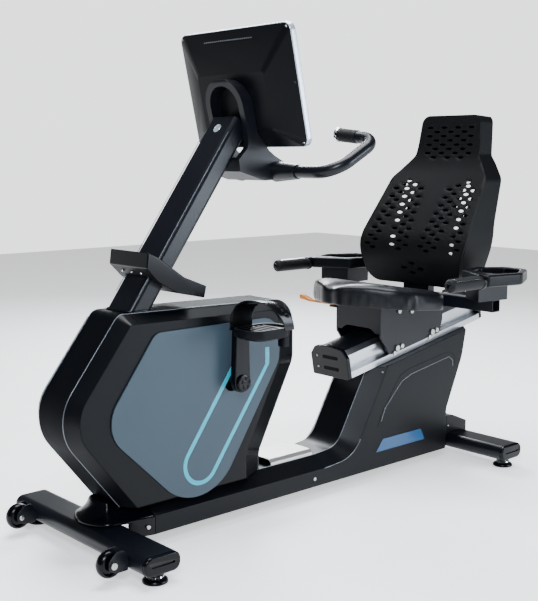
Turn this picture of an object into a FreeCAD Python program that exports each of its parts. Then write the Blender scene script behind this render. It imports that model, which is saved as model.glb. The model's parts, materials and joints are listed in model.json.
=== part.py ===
import FreeCAD, Part
import math
import os

from FreeCAD import Placement, Rotation, Vector

# A recumbent exercise bike. Millimetres, +X towards the rider's back, +Y to the rider's
# right, +Z up, floor at z = 0. Stations along X are counted from the front feet, and every
# sub-part is then placed so that the origin lies under the middle of the whole machine.

doc = FreeCAD.newDocument("RecumbentBike")
sheet = doc.addObject("Spreadsheet::Sheet", "Sizes")

driving_sizes = [
    # feet, stabilisers, transport wheels
    ("wheelbase", 1315, "front feet to rear feet"),
    ("foot_spread", 258, "centre plane to a foot"),
    ("foot_pad_radius", 30, ""),
    ("foot_pad_height", 13, ""),
    ("foot_stem_radius", 6, ""),
    ("foot_travel", 12, "how far a foot screws out"),
    ("tube_bottom", 27, "underside of both stabilisers"),
    ("tube_height", 46, ""),
    ("tube_depth", 100, ""),
    ("tube_round", 21, "corner radius of the flat-oval tube"),
    ("tube_half_length", 281, ""),
    ("tube_wall", 3, ""),
    ("end_cap_thickness", 10, ""),
    ("wheel_radius", 32, ""),
    ("wheel_width", 24, ""),
    ("wheel_station", -87, ""),
    ("wheel_spread", 206, ""),
    ("wheel_height", 50, "wheel axle above the floor"),
    ("axle_bolt_radius", 4, ""),
    ("fork_gap", 2, "beside each face of the wheel"),
    ("fork_wall", 4, ""),
    ("running_gap", 0.05, "radial gap of every shaft in its hole"),
    ("soft_gap", 0.3, "gap under soft and rolling pieces"),
    # frame
    ("beam_half_width", 45, ""),
    ("beam_height", 35, ""),
    ("beam_overhang", 6, "beam past the front feet"),
    ("beam_rear_overhang", 15, "beam past the rear feet"),
    ("frame_wall", 3, ""),
    ("post_half_width", 20, ""),
    # base fairing
    ("cover_half_width", 97, ""),
    ("cover_bottom", 35, ""),
    ("cover_clearance", 4, "beam to the top of the covers between shroud and seat column"),
    ("cover_bevel", 31, "how far the side cover's outer face is set in"),
    ("cover_wall", 3, "moulded covers"),
    ("seam", 0.3, "joint line between covers"),
    ("cover_seam_station", 118, "where foot cover and fairing meet"),
    # front shroud
    ("band_half_width", 54, ""),
    ("shroud_half_width", 93, ""),
    ("shroud_nose_station", -136, "where the two front slopes would meet"),
    ("shroud_nose_height", 337, ""),
    ("shroud_nose_round", 115, ""),
    ("shroud_top", 578, ""),
    ("shroud_rear_station", 570, ""),
    ("shroud_bevel", 21, "how far the side face is set in at front and top"),
    ("shroud_rear_bevel", 42, ""),
    # side panel and light strip
    ("panel_thickness", 4, ""),
    ("strip_radius", 49.6, "middle line of the light strip's bend"),
    ("strip_width", 12, ""),
    ("strip_depth", 2, ""),
    ("strip_long_arm", 316, ""),
    ("strip_short_arm", 262, ""),
    # crank and drive
    ("crank_station", 364, ""),
    ("crank_height", 382, ""),
    ("crank_length", 136, ""),
    ("crank_axle_radius", 10, ""),
    ("bearing_radius", 21, ""),
    ("bearing_width", 12, ""),
    ("shell_radius", 28, ""),
    ("shell_half_length", 34, ""),
    ("arm_inner", 118, "centre plane to an arm's inner face"),
    ("arm_thickness", 20, ""),
    ("arm_end_radius", 21, ""),
    ("spindle_radius", 7, ""),
    ("pedal_inner", 150, ""),
    ("pedal_width", 98, ""),
    ("pedal_length", 118, ""),
    ("pedal_thickness", 30, ""),
    ("strap_rise", 76, "spindle to the top of the strap"),
    ("strap_thickness", 3, ""),
    ("strap_length", 46, ""),
    ("pulley_radius", 120, ""),
    ("pulley_width", 14, ""),
    ("pulley_inner", 58, "centre plane to the belt's inner edge"),
    ("sprocket_radius", 25, ""),
    ("belt_thickness", 3, ""),
    ("flywheel_station", 215, ""),
    ("flywheel_height", 250, ""),
    ("flywheel_radius", 92, ""),
    ("flywheel_width", 40, ""),
    ("flywheel_shaft_radius", 8, ""),
    # step-through
    ("step_front", 533, ""),
    ("step_rear", 690, ""),
    ("step_half_width", 56, ""),
    ("step_top", 129, ""),
    ("step_sheet", 2, ""),
    # rear covers
    ("lens_thickness", 1.5, ""),
    # mast
    ("mast_lean", 35.66, "degrees from vertical, towards the rider"),
    ("mast_station", 117, "mast axis where it leaves the shroud"),
    ("mast_exit_height", 578, ""),
    ("mast_width", 100, ""),
    ("mast_depth", 55, ""),
    ("mast_below", 110, "mast hidden in the shroud"),
    ("mast_above", 557, ""),
    ("mast_round", 13, ""),
    ("mast_wall", 3, ""),
    ("mast_back_round", 52, ""),
    ("tray_half_width", 80, ""),
    ("tray_rim", 5, ""),
    # yoke, handlebar, console
    ("yoke_half_width", 73, ""),
    ("yoke_slot_half_width", 55, ""),
    ("bar_station", 540, ""),
    ("bar_height", 907, ""),
    ("bar_radius", 16, ""),
    ("bar_wall", 2.5, ""),
    ("bar_half_span", 278, ""),
    ("bar_reach", 155, "cross bar to grip, towards the rider"),
    ("bar_rise", 82, ""),
    ("bar_grip_length", 118, ""),
    ("sleeve_thickness", 1.5, ""),
    ("hub_radius", 27, ""),
    ("hub_half_length", 150, ""),
    ("console_lean", 12.6, "degrees back from vertical"),
    ("console_station", 478, ""),
    ("console_height", 1118, "middle of the console above the floor"),
    ("console_width", 434, ""),
    ("console_tall", 306, ""),
    ("console_round", 22, ""),
    ("bezel_depth", 18, ""),
    ("bezel_rim", 9, ""),
    ("console_back_depth", 32, ""),
    ("screen_thickness", 4, ""),
    # seat rail and carriage
    ("rail_slope", 10.5, "degrees, rising towards the back"),
    ("rail_front", 832, ""),
    ("rail_front_height", 314, "underside of the rail at its front end"),
    ("rail_length", 604, ""),
    ("rail_half_width", 72, ""),
    ("rail_waist", 52, ""),
    ("rail_flange", 20, ""),
    ("rail_groove", 36, "height of the roller groove"),
    ("rail_body", 80, ""),
    ("rail_crown", 10, "rise of the arched top cover"),
    ("rail_cap_thickness", 14, ""),
    ("carriage_plate_inner", 84, ""),
    ("carriage_plate", 6, ""),
    ("carriage_front", 931, ""),
    ("carriage_rear", 1214, ""),
    ("carriage_front_height", 513, ""),
    ("carriage_rear_height", 487, ""),
    ("roller_gap", 0.2, ""),
    ("roller_width", 16, ""),
    ("front_roller_station", 1003, ""),
    ("rear_roller_station", 1164, ""),
    # seat, back, armrests
    ("cushion_front", 805, ""),
    ("cushion_rear", 1126, ""),
    ("cushion_half_width", 200, ""),
    ("cushion_thickness", 46, ""),
    ("cushion_edge", 16, ""),
    ("seat_board", 12, "board between carriage and cushion"),
    ("seat_board_lip", 2, "board below the cushion's cover"),
    ("liner_gap", 25, "front of the backrest shell to its liner"),
    ("liner_thickness", 3, ""),
    ("back_panel", 6, ""),
    ("back_rim", 5, ""),
    ("spine_half_width", 50, ""),
    ("spine_depth", 24, ""),
    ("armrest_spread", 345, ""),
    ("armrest_bottom", 585, ""),
    ("armrest_top", 619, ""),
    ("support_bottom", 536, ""),
    ("cross_tube", 36, ""),
    ("grip_tip", 912, ""),
    ("grip_root", 1062, ""),
    ("grip_radius", 18.5, ""),
    ("grip_height", 599, ""),
    ("contact_plate", 1.2, ""),
    ("lever_length", 150, ""),
    ("lever_width", 18, ""),
    ("lever_thickness", 8, ""),
    ("shoe_side", 30, ""),
    ("shoe_height", 30, ""),
    ("shoe_lift", 10, "how far the lever lifts the shoe"),
]

for row, (alias, value, note) in enumerate(driving_sizes, start=1):
    sheet.set(f"A{row}", alias)
    sheet.set(f"B{row}", str(value))
    sheet.set(f"C{row}", note)
    sheet.setAlias(f"B{row}", alias)

derived_sizes = [
    ("tube_top", "tube_bottom + tube_height"),
    ("beam_top", "tube_top + beam_height"),
    ("cover_top", "beam_top + cover_clearance"),
    ("rear_end", "rail_front + cos(rail_slope) * (rail_length + rail_cap_thickness)"),
    ("front_end", "wheel_station - wheel_radius"),
    ("middle", "(front_end + rear_end) / 2"),
]

for row, (alias, formula) in enumerate(derived_sizes, start=len(driving_sizes) + 1):
    sheet.set(f"A{row}", alias)
    sheet.set(f"B{row}", "=" + formula)
    sheet.setAlias(f"B{row}", alias)

doc.recompute()


def cell(alias):
    return float(sheet.get(alias))


nodes = []


# ---- drawing helpers -------------------------------------------------------------------

def bind(item, **expressions):
    for name, expression in expressions.items():
        item.setExpression(name.replace("_dot_", "."), expression)


def node(label, *pieces):
    # one named sub-part of the machine, placed with the origin under its middle
    group = doc.addObject("Part::Compound", label)
    group.Label = label
    group.Links = list(pieces)
    group.setExpression("Placement.Base.x", "-Sizes.middle")
    nodes.append(group)
    return group


def round_corners(corners):
    # line and arc edges of a closed outline given as (x, y) or (x, y, radius)
    count = len(corners)
    entries = []
    for index in range(count):
        here = Vector(corners[index][0], corners[index][1], 0)
        radius = corners[index][2] if len(corners[index]) > 2 else 0
        before = Vector(*corners[index - 1][:2], 0)
        after = Vector(*corners[(index + 1) % count][:2], 0)
        if radius <= 0:
            entries.append((here, here, None))
            continue
        back = (before - here).normalize()
        ahead = (after - here).normalize()
        half_angle = back.getAngle(ahead) / 2
        reach = radius / math.tan(half_angle)
        start = here + back * reach
        finish = here + ahead * reach
        centre = here + (back + ahead).normalize() * (radius / math.sin(half_angle))
        middle = centre + (here - centre).normalize() * radius
        entries.append((start, finish, middle))
    edges = []
    for index in range(count):
        start, finish, middle = entries[index]
        if middle is not None:
            edges.append(Part.Arc(start, middle, finish))
        following = entries[(index + 1) % count][0]
        if finish.distanceToPoint(following) > 1e-6:
            edges.append(Part.LineSegment(finish, following))
    return edges


def inset(corners, distance):
    # the same outline with its sides moved inwards; side i runs from corner i to the next,
    # and distance is one number or a list with one for each side
    count = len(corners)
    shifts = list(distance) if isinstance(distance, (list, tuple)) else [distance] * count
    area = sum(corners[i - 1][0] * corners[i][1] - corners[i][0] * corners[i - 1][1] for i in range(count))
    turn = 1 if area > 0 else -1
    lines = []
    for index in range(count):
        start = Vector(*corners[index][:2], 0)
        along = (Vector(*corners[(index + 1) % count][:2], 0) - start).normalize()
        normal = Vector(-along.y, along.x, 0) * turn
        lines.append((start + normal * shifts[index], along))
    result = []
    for index in range(count):
        (start, along), (other, ahead) = lines[index - 1], lines[index]
        cross = along.x * ahead.y - along.y * ahead.x
        gap = other - start
        crossing = start + along * ((gap.x * ahead.y - gap.y * ahead.x) / cross)
        radius = corners[index][2] if len(corners[index]) > 2 else 0
        shift = (shifts[index - 1] + shifts[index]) / 2
        if radius > 0:
            radius = max(radius - shift, 1) if cross * turn > 0 else radius + shift
        result.append((crossing.x, crossing.y, radius))
    return result


def box_outline(low_x, high_x, low_y, high_y, radius=0):
    return [(low_x, low_y, radius), (high_x, low_y, radius), (high_x, high_y, radius), (low_x, high_y, radius)]


def new_body(label):
    body = doc.addObject("PartDesign::Body", label)
    body.Label = label
    return body


def add_sketch(body, role, outlines, offset=None):
    # outlines are corner lists or (centre x, centre y, radius) circles, on an origin plane
    sketch = body.newObject("Sketcher::SketchObject", body.Name + "_sketch")
    plane = [item for item in body.Origin.OriginFeatures if item.Role == role][0]
    sketch.AttachmentSupport = (plane, [""])
    sketch.MapMode = "FlatFace"
    if offset is not None:
        sketch.setExpression("AttachmentOffset.Base.z", offset)
    for outline in outlines:
        if isinstance(outline, tuple):
            sketch.addGeometry(Part.Circle(Vector(outline[0], outline[1], 0), Vector(0, 0, 1), outline[2]))
        else:
            sketch.addGeometry(round_corners(outline))
    return sketch


def pad(body, sketch, length, midplane=False, reverse=False):
    feature = body.newObject("PartDesign::Pad", body.Name + "_pad")
    feature.Profile = sketch
    feature.Midplane = midplane
    feature.Reversed = reverse
    feature.setExpression("Length", length)
    body.Tip = feature
    return feature


def soften(body, radius, keep):
    # fillet every edge of the finished body that keep() picks
    doc.recompute()
    base = body.Tip
    names = [f"Edge{i}" for i, edge in enumerate(base.Shape.Edges, start=1) if keep(edge)]
    feature = body.newObject("PartDesign::Fillet", body.Name + "_fillet")
    feature.Base = (base, names)
    feature.setExpression("Radius", radius)
    body.Tip = feature
    return feature


# sketch planes: on "XZ_Plane" a positive offset or pad goes towards -Y, so reverse=True
# pads towards +Y; on "YZ_Plane" it goes towards +X and on "XY_Plane" towards +Z

def across(label, outlines, width):
    # a piece drawn from the side and padded equally both ways along Y
    body = new_body(label)
    pad(body, add_sketch(body, "XZ_Plane", outlines), width, midplane=True)
    return body


def side(label, outlines, inner, thickness):
    # a piece drawn from the side on the rider's right, from inner outwards
    body = new_body(label)
    pad(body, add_sketch(body, "XZ_Plane", outlines, "-(" + inner + ")"), thickness, reverse=True)
    return body


def lengthwise(label, outlines, start, length):
    body = new_body(label)
    pad(body, add_sketch(body, "YZ_Plane", outlines, start), length)
    return body


def upward(label, outlines, bottom, height):
    body = new_body(label)
    pad(body, add_sketch(body, "XY_Plane", outlines, bottom), height)
    return body


def cylinder(label, radius, length, base, axis):
    item = doc.addObject("Part::Cylinder", label)
    item.setExpression("Radius", radius)
    item.setExpression("Height", length)
    item.Placement = Placement(base, Rotation(Vector(0, 0, 1), axis))
    return item


def cut(label, base, *tools):
    tool = tools[0] if len(tools) == 1 else fuse(label + "_tools", *tools)
    item = doc.addObject("Part::Cut", label)
    item.Base = base
    item.Tool = tool
    return item


def fuse(label, *pieces):
    item = doc.addObject("Part::MultiFuse", label)
    item.Shapes = list(pieces)
    item.Refine = True
    return item


def common(label, *pieces):
    item = doc.addObject("Part::MultiCommon", label)
    item.Shapes = list(pieces)
    return item


def mirrored(label, piece):
    item = doc.addObject("Part::Mirroring", label)
    item.Source = piece
    item.Normal = Vector(0, 1, 0)
    return item


def pair(label, piece):
    # the same piece on both sides of the machine
    return node(label, piece, mirrored(label + "_other_side", piece))


def shaped(label, shape):
    item = doc.addObject("Part::Feature", label)
    item.Shape = shape
    return item


def moved(label, piece, offset, turn=0):
    # a copy of a piece, shifted and turned about Y
    item = doc.addObject("Part::Compound", label)
    item.Links = [piece]
    item.Placement = Placement(offset, Rotation(Vector(0, 1, 0), turn))
    return item


across_y = Vector(0, 1, 0)
along_x = Vector(1, 0, 0)
up_z = Vector(0, 0, 1)

# ---- stabilisers, feet, transport wheels -----------------------------------------------

wheelbase = cell("wheelbase")
spread = cell("foot_spread")
tube_half = cell("tube_depth") / 2
tube_bottom = cell("tube_bottom")
tube_top = cell("tube_top")
tube_middle = (tube_bottom + tube_top) / 2
stem_hole = cell("foot_stem_radius") + cell("running_gap")


def stabilizer_tube(label, station):
    outer = box_outline(station - tube_half, station + tube_half, tube_bottom, tube_top, cell("tube_round"))
    tube = across(label + "_tube", [outer, inset(outer, cell("tube_wall"))], "2*Sizes.tube_half_length")
    holes = [
        cylinder(f"{label}_hole_{number}", f"{stem_hole}", "2*Sizes.tube_wall", Vector(station, y, tube_bottom - 1), up_z)
        for number, y in enumerate((-spread, spread))
    ]
    return cut(label + "_drilled", tube, *holes)


def wheel_fork(label, y):
    # back plate let into the tube, with a cheek on each side of the wheel
    axle_x = cell("wheel_station")
    axle_z = cell("wheel_height")
    cheek_gap = cell("wheel_width") / 2 + cell("fork_gap")
    plate_back = -tube_half + cell("tube_wall")
    cheek = [
        (axle_x - 12, axle_z - 12, 11),
        (plate_back, axle_z - 14),
        (plate_back, axle_z + 14),
        (axle_x - 12, axle_z + 12, 11),
    ]
    cheeks = across(label + "_cheeks", [cheek, (axle_x, axle_z, cell("axle_bolt_radius") + cell("running_gap"))],
                    "Sizes.wheel_width + 2*Sizes.fork_gap + 2*Sizes.fork_wall")
    wheel_room = across(label + "_room", [box_outline(axle_x - 60, -tube_half - cell("fork_wall") + 2, 0, 100)],
                        f"{2 * cheek_gap}")
    inside_tube = across(label + "_inside", [box_outline(plate_back, plate_back + 20, 0, 100)], "100")
    return moved(label, cut(label + "_shaped", cheeks, wheel_room, inside_tube), Vector(0, y, 0))


front_tube = stabilizer_tube("front", 0)
forks = [wheel_fork(f"fork_{number}", y * cell("wheel_spread")) for number, y in enumerate((-1, 1))]
node("front_stabilizer", fuse("front_welded", front_tube, *forks))
node("rear_stabilizer", stabilizer_tube("rear", wheelbase))


def end_cap(label, station, side_sign):
    outline = box_outline(station - tube_half, station + tube_half, tube_bottom, tube_top, cell("tube_round"))
    body = new_body(label)
    start = "-Sizes.tube_half_length" if side_sign > 0 else "Sizes.tube_half_length"
    pad(body, add_sketch(body, "XZ_Plane", [outline], start), "Sizes.end_cap_thickness", reverse=side_sign > 0)
    outer_y = side_sign * (cell("tube_half_length") + cell("end_cap_thickness"))
    soften(body, "Sizes.end_cap_thickness*0.6", lambda edge: abs(edge.BoundBox.YMin - outer_y) < 0.01
           and abs(edge.BoundBox.YMax - outer_y) < 0.01)
    return body


node("stabilizer_end_caps", *[
    end_cap(f"end_cap_{number}", station, sign)
    for number, (station, sign) in enumerate(((0, -1), (0, 1), (wheelbase, -1), (wheelbase, 1)))
])


def levelling_foot(label, station, y):
    # turned pad and threaded stem in one piece
    height = cell("foot_pad_height")
    radius = cell("foot_pad_radius")
    stem = cell("foot_stem_radius")
    profile = [(0, 0), (radius - 2, 0), (radius, 2), (radius, height - 7), (radius - 8, height - 3),
               (stem + 8, height), (stem, height), (stem, tube_top - 12), (0, tube_top - 12)]
    body = new_body(label + "_turned")
    turned = body.newObject("PartDesign::Revolution", label + "_revolution")
    turned.Profile = add_sketch(body, "XZ_Plane", [profile])
    turned.ReferenceAxis = (turned.Profile[0], ["V_Axis"])
    turned.Angle = 360
    body.Tip = turned
    node(label, moved(label + "_placed", body, Vector(station, y, 0)))


for name, station, y in (("left", 0, -spread), ("right", 0, spread)):
    levelling_foot("front_foot_" + name, station, y)
    levelling_foot("rear_foot_" + name, station + wheelbase, y)


def transport_wheel(label, y):
    half = cell("wheel_width") / 2
    radius = cell("wheel_radius")
    bore = cell("axle_bolt_radius") + cell("running_gap")
    profile = [(bore, -half), (bore + 5, -half), (bore + 7, -half + 3), (radius - 9, -half + 3),
               (radius - 7, -half), (radius, -half, 4), (radius, half, 4), (radius - 7, half),
               (radius - 9, half - 3), (bore + 7, half - 3), (bore + 5, half), (bore, half)]
    body = new_body(label + "_turned")
    turned = body.newObject("PartDesign::Revolution", label + "_revolution")
    turned.Profile = add_sketch(body, "XY_Plane", [profile])
    turned.ReferenceAxis = (turned.Profile[0], ["V_Axis"])
    turned.Angle = 360
    body.Tip = turned
    node(label, moved(label + "_placed", body, Vector(cell("wheel_station"), y, cell("wheel_height"))))


transport_wheel("transport_wheel_left", -cell("wheel_spread"))
transport_wheel("transport_wheel_right", cell("wheel_spread"))

# ---- main frame ------------------------------------------------------------------------

slope = math.radians(cell("rail_slope"))
beam_top = cell("beam_top")
post_width = "2*Sizes.post_half_width"


def rail_under(x):
    # height of the rail's underside at a station
    return cell("rail_front_height") + math.tan(slope) * (x - cell("rail_front"))


lean = math.radians(cell("mast_lean"))
mast_along = Vector(math.sin(lean), 0, math.cos(lean))
mast_normal = Vector(math.cos(lean), 0, -math.sin(lean))
mast_base = Vector(cell("mast_station"), 0, cell("mast_exit_height"))


def mast_point(along, forward):
    point = mast_base + mast_along * along + mast_normal * forward
    return (point.x, point.z)


crank_x = cell("crank_station")
crank_z = cell("crank_height")
wheel_x = cell("flywheel_station")
wheel_z = cell("flywheel_height")


def beam_outlines():
    half = cell("beam_half_width")
    wall = cell("frame_wall")
    return [box_outline(-half, half, tube_top, beam_top, 6),
            box_outline(-half + wall, half - wall, tube_top + wall, beam_top - wall, 3)]


def seat_post(label, station):
    width = 44
    corners = [(station, beam_top), (station + width, beam_top),
               (station + width, rail_under(station + width)), (station, rail_under(station))]
    return across(label, [corners], post_width)


def drive_bracket(label, sign):
    # one of the two cheeks that carry the flywheel
    corners = [(wheel_x - 34, beam_top), (wheel_x + 34, beam_top), (wheel_x + 17, wheel_z + 17, 15),
               (wheel_x - 17, wheel_z + 17, 15)]
    hole = (wheel_x, wheel_z, cell("flywheel_shaft_radius") + cell("running_gap"))
    plate = side(label, [corners, hole], "Sizes.flywheel_width/2 + 6", "5")
    return plate if sign > 0 else mirrored(label + "_left", plate)


beam_length = "Sizes.wheelbase + Sizes.beam_overhang + Sizes.beam_rear_overhang"
plain_beam = lengthwise("beam", beam_outlines(), "-Sizes.beam_overhang", beam_length)
beam_taper = across("beam_taper", [[(-40, tube_top + 4), (4, tube_top + 17), (52, beam_top + 1), (52, beam_top + 40),
                                    (-40, beam_top + 40)]], "200")
frame_beam = cut("beam_tapered", plain_beam, beam_taper)
post_end = 1 - cell("mast_below") - 2
front_post = across("front_post", [[(70, beam_top), (118, beam_top), mast_point(post_end, 20),
                                    mast_point(post_end, -20)]], post_width)
spigot_half = cell("mast_depth") / 2 - cell("mast_wall") - cell("soft_gap")
spigot = across("spigot", [[mast_point(post_end - 2, -spigot_half), mast_point(post_end - 2, spigot_half),
                            mast_point(-20, spigot_half), mast_point(-20, -spigot_half)]],
                "Sizes.mast_width - 2*Sizes.mast_round - 2")
crank_strut = across("crank_strut", [[(crank_x - 14, beam_top), (crank_x + 14, beam_top),
                                      (crank_x + 14, crank_z), (crank_x - 14, crank_z)]], "30")
tie_strut = across("tie_strut", [[(72, crank_z + 8), (crank_x, crank_z - 12), (crank_x, crank_z + 12),
                                  (72, crank_z + 36)]], "30")
crank_shell = cylinder("crank_shell", "Sizes.shell_radius", "2*Sizes.shell_half_length",
                       Vector(crank_x, -cell("shell_half_length"), crank_z), across_y)
shell_bore = cylinder("shell_bore", "Sizes.bearing_radius", "2*Sizes.shell_half_length + 2",
                      Vector(crank_x, -cell("shell_half_length") - 1, crank_z), across_y)
solid_frame = fuse("frame_welded", frame_beam, front_post, spigot, crank_strut, tie_strut, crank_shell,
                   seat_post("seat_post_front", 990), seat_post("seat_post_rear", 1205),
                   drive_bracket("drive_cheek_a", 1), drive_bracket("drive_cheek_b", -1))
node("main_frame", cut("main_frame_bored", solid_frame, shell_bore))

# ---- crank, pedals, belt drive ---------------------------------------------------------

axle_reach = cell("arm_inner") + cell("arm_thickness")
crank_centre = Vector(crank_x, 0, crank_z)
axle_span = f"{2 * axle_reach - 2}"
node("crank_axle", cylinder("axle_shaft", "Sizes.crank_axle_radius", axle_span,
                            crank_centre - across_y * (axle_reach - 1), across_y))


def ring(label, outer, inner, thickness, centre, start_y):
    # a washer-like ring about a line along Y
    body = new_body(label)
    sketch = add_sketch(body, "XZ_Plane", [(centre[0], centre[1], outer), (centre[0], centre[1], inner)],
                        f"-({start_y})")
    pad(body, sketch, thickness, reverse=True)
    return body


bearing_start = cell("shell_half_length") - cell("bearing_width")
pair("crank_bearings", ring("bearing", cell("bearing_radius"), cell("crank_axle_radius") + cell("running_gap"),
                            "Sizes.bearing_width", (crank_x, crank_z), bearing_start))


def pulley(label, radius, bore, centre):
    return ring(label, radius, bore, "Sizes.pulley_width", centre, cell("pulley_inner"))


node("drive_pulley", pulley("pulley_disc", cell("pulley_radius"), cell("crank_axle_radius"), (crank_x, crank_z)))
shaft_radius = cell("flywheel_shaft_radius")
node("small_pulley", pulley("small_disc", cell("sprocket_radius"), shaft_radius, (wheel_x, wheel_z)))
shaft_end = cell("pulley_inner") + cell("pulley_width") + 4
shaft_start = cell("flywheel_width") / 2 + 20
flywheel_shaft = cylinder("flywheel_shaft", "Sizes.flywheel_shaft_radius", f"{shaft_end + shaft_start}",
                          Vector(wheel_x, -shaft_start, wheel_z), across_y)
flywheel_disc = cylinder("flywheel_disc", "Sizes.flywheel_radius", "Sizes.flywheel_width",
                         Vector(wheel_x, -cell("flywheel_width") / 2, wheel_z), across_y)
node("flywheel", fuse("flywheel_rotor", flywheel_disc, flywheel_shaft))


def belt_loop(extra):
    # outline of the belt's loop around both pulleys, extra beyond their rims
    big = cell("pulley_radius") + extra
    small = cell("sprocket_radius") + extra
    reach = Vector(wheel_x - crank_x, wheel_z - crank_z, 0)
    facing = math.atan2(reach.y, reach.x)
    spread_angle = math.acos((big - small) / reach.Length)
    big_centre = Vector(crank_x, crank_z, 0)
    small_centre = Vector(wheel_x, wheel_z, 0)

    def on(centre, radius, angle):
        return centre + Vector(math.cos(angle), math.sin(angle), 0) * radius

    first = on(big_centre, big, facing + spread_angle)
    last = on(big_centre, big, facing - spread_angle)
    upper = on(small_centre, small, facing + spread_angle)
    lower = on(small_centre, small, facing - spread_angle)
    return [
        Part.Arc(first, on(big_centre, big, facing + math.pi), last),
        Part.LineSegment(last, lower),
        Part.Arc(lower, on(small_centre, small, facing), upper),
        Part.LineSegment(upper, first),
    ]


belt_body = new_body("belt_band")
belt_sketch = add_sketch(belt_body, "XZ_Plane", [], f"{-(cell('pulley_inner') + 1)}")
belt_sketch.addGeometry(belt_loop(cell("soft_gap")))
belt_sketch.addGeometry(belt_loop(cell("soft_gap") + cell("belt_thickness")))
pad(belt_body, belt_sketch, "Sizes.pulley_width - 2", reverse=True)
node("drive_belt", belt_body)


def crank_arm(label, sign):
    # near arm (rider's left) stands up, far arm hangs down
    direction = -sign
    end_z = crank_z + direction * cell("crank_length")
    radius = cell("arm_end_radius")
    low, high = sorted((crank_z - direction * radius, end_z + direction * radius))
    outline = box_outline(crank_x - radius, crank_x + radius, low, high, radius - 0.1)
    holes = [(crank_x, crank_z, cell("crank_axle_radius")), (crank_x, end_z, cell("spindle_radius"))]
    body = new_body(label)
    offset = "Sizes.arm_inner" if sign < 0 else "-Sizes.arm_inner"
    pad(body, add_sketch(body, "XZ_Plane", [outline] + holes, offset), "Sizes.arm_thickness", reverse=sign > 0)
    return body


cap_left = cylinder("cap_left", "Sizes.arm_end_radius - 3", "5", crank_centre - across_y * axle_reach, -across_y)
cap_right = cylinder("cap_right", "Sizes.arm_end_radius - 3", "5", crank_centre + across_y * axle_reach, across_y)
node("crank_arms", crank_arm("left_arm", -1), crank_arm("right_arm", 1), cap_left, cap_right)


def spindle(label, sign):
    end_z = crank_z - sign * cell("crank_length")
    length = cell("pedal_inner") + cell("pedal_width") - 6 - cell("arm_inner")
    start = Vector(crank_x, sign * cell("arm_inner"), end_z)
    return cylinder(label, "Sizes.spindle_radius", f"{length}", start, across_y * sign)


node("pedal_spindles", spindle("left_spindle", -1), spindle("right_spindle", 1))


def pedal(sign):
    name = "left" if sign < 0 else "right"
    centre_z = crank_z - sign * cell("crank_length")
    half = cell("pedal_length") / 2
    thick = cell("pedal_thickness") / 2
    outline = [(crank_x - half, centre_z - thick, 8), (crank_x + half, centre_z - thick, 8),
               (crank_x + half, centre_z + thick, 8), (crank_x - half, centre_z + thick, 8)]
    bore = (crank_x, centre_z, cell("spindle_radius") + cell("running_gap"))
    body = new_body(name + "_pedal_body")
    offset = "Sizes.pedal_inner" if sign < 0 else "-Sizes.pedal_inner"
    pad(body, add_sketch(body, "XZ_Plane", [outline, bore], offset), "Sizes.pedal_width", reverse=sign > 0)
    node(name + "_pedal", body)

    # the strap arches over the toes from one side of the pedal to the other
    inner = cell("pedal_inner") + 4
    outer = cell("pedal_inner") + cell("pedal_width") - 4
    top = centre_z + cell("strap_rise")
    foot = centre_z + thick + cell("soft_gap")
    arch = [(sign * inner, foot), (sign * outer, foot), (sign * outer, top, 30), (sign * inner, top, 30)]
    wall = cell("strap_thickness")
    room = [(sign * (inner + wall), foot - 5), (sign * (outer - wall), foot - 5),
            (sign * (outer - wall), top - wall, 27), (sign * (inner + wall), top - wall, 27)]
    start = f"{crank_x - half + 6}"
    band = lengthwise(name + "_strap_outer", [arch], start, "Sizes.strap_length")
    hollow = lengthwise(name + "_strap_room", [room], start, "Sizes.strap_length")
    node(name + "_pedal_strap", cut(name + "_strap_band", band, hollow))


pedal(-1)
pedal(1)

# ---- moulded housings ------------------------------------------------------------------

wall = cell("cover_wall")
seam = cell("seam")
band_half = cell("band_half_width")
cover_top = cell("cover_top")
cover_bottom = cell("cover_bottom")


def side_shell(label, outline, bevels, outer_half, open_sides=()):
    # half shell on the rider's right, from the centre band out to its side face; outline
    # is its edge at the band, and bevels say how far the face's edge is set in
    face = inset(outline, bevels)
    thin = [-wall if index in open_sides else wall for index in range(len(outline))]

    def loft(name, low, high, low_y, high_y):
        wires = []
        for corners, y in ((low, low_y), (high, high_y)):
            edges = [curve.toShape() for curve in round_corners(corners)]
            wire = Part.Wire(Part.sortEdges(edges)[0])
            wire.rotate(Vector(0, 0, 0), Vector(1, 0, 0), 90)
            wire.translate(Vector(0, y, 0))
            wires.append(wire)
        return shaped(name, Part.makeLoft(wires, True, True))

    skin = loft(label + "_skin", outline, face, band_half, outer_half)
    room = loft(label + "_room", inset(outline, thin), inset(face, thin), band_half - 0.01, outer_half - wall)
    return cut(label + "_hollow", skin, room)


def centre_band(label, outline, open_sides=()):
    thin = [-wall if index in open_sides else wall for index in range(len(outline))]
    outer = across(label + "_outer", [outline], "2*Sizes.band_half_width - 2*Sizes.seam")
    inner = across(label + "_inner", [inset(outline, thin)], "2*Sizes.band_half_width + 2")
    return outer, inner


nose_x = cell("shroud_nose_station")
nose_z = cell("shroud_nose_height")
shroud_top = cell("shroud_top")
shroud_rear = cell("shroud_rear_station")
shroud_floor = cover_top + seam
front_slope = (shroud_top - nose_z) / (50 - nose_x)
lower_front = nose_x + (nose_z - shroud_floor) / 1.263
shroud_outline = [
    (lower_front, shroud_floor),
    (shroud_rear - 125, shroud_floor),
    (shroud_rear - 125, 160, 20),
    (shroud_rear, shroud_top - 178, 60),
    (shroud_rear, shroud_top - 11, 70),
    (50, shroud_top, 30),
    (nose_x, nose_z, cell("shroud_nose_round")),
]
bevel = cell("shroud_bevel")
back_bevel = cell("shroud_rear_bevel")
shroud_bevels = [0, back_bevel - 10, back_bevel - 4, back_bevel, bevel, bevel, bevel]
crank_opening = 30


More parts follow.
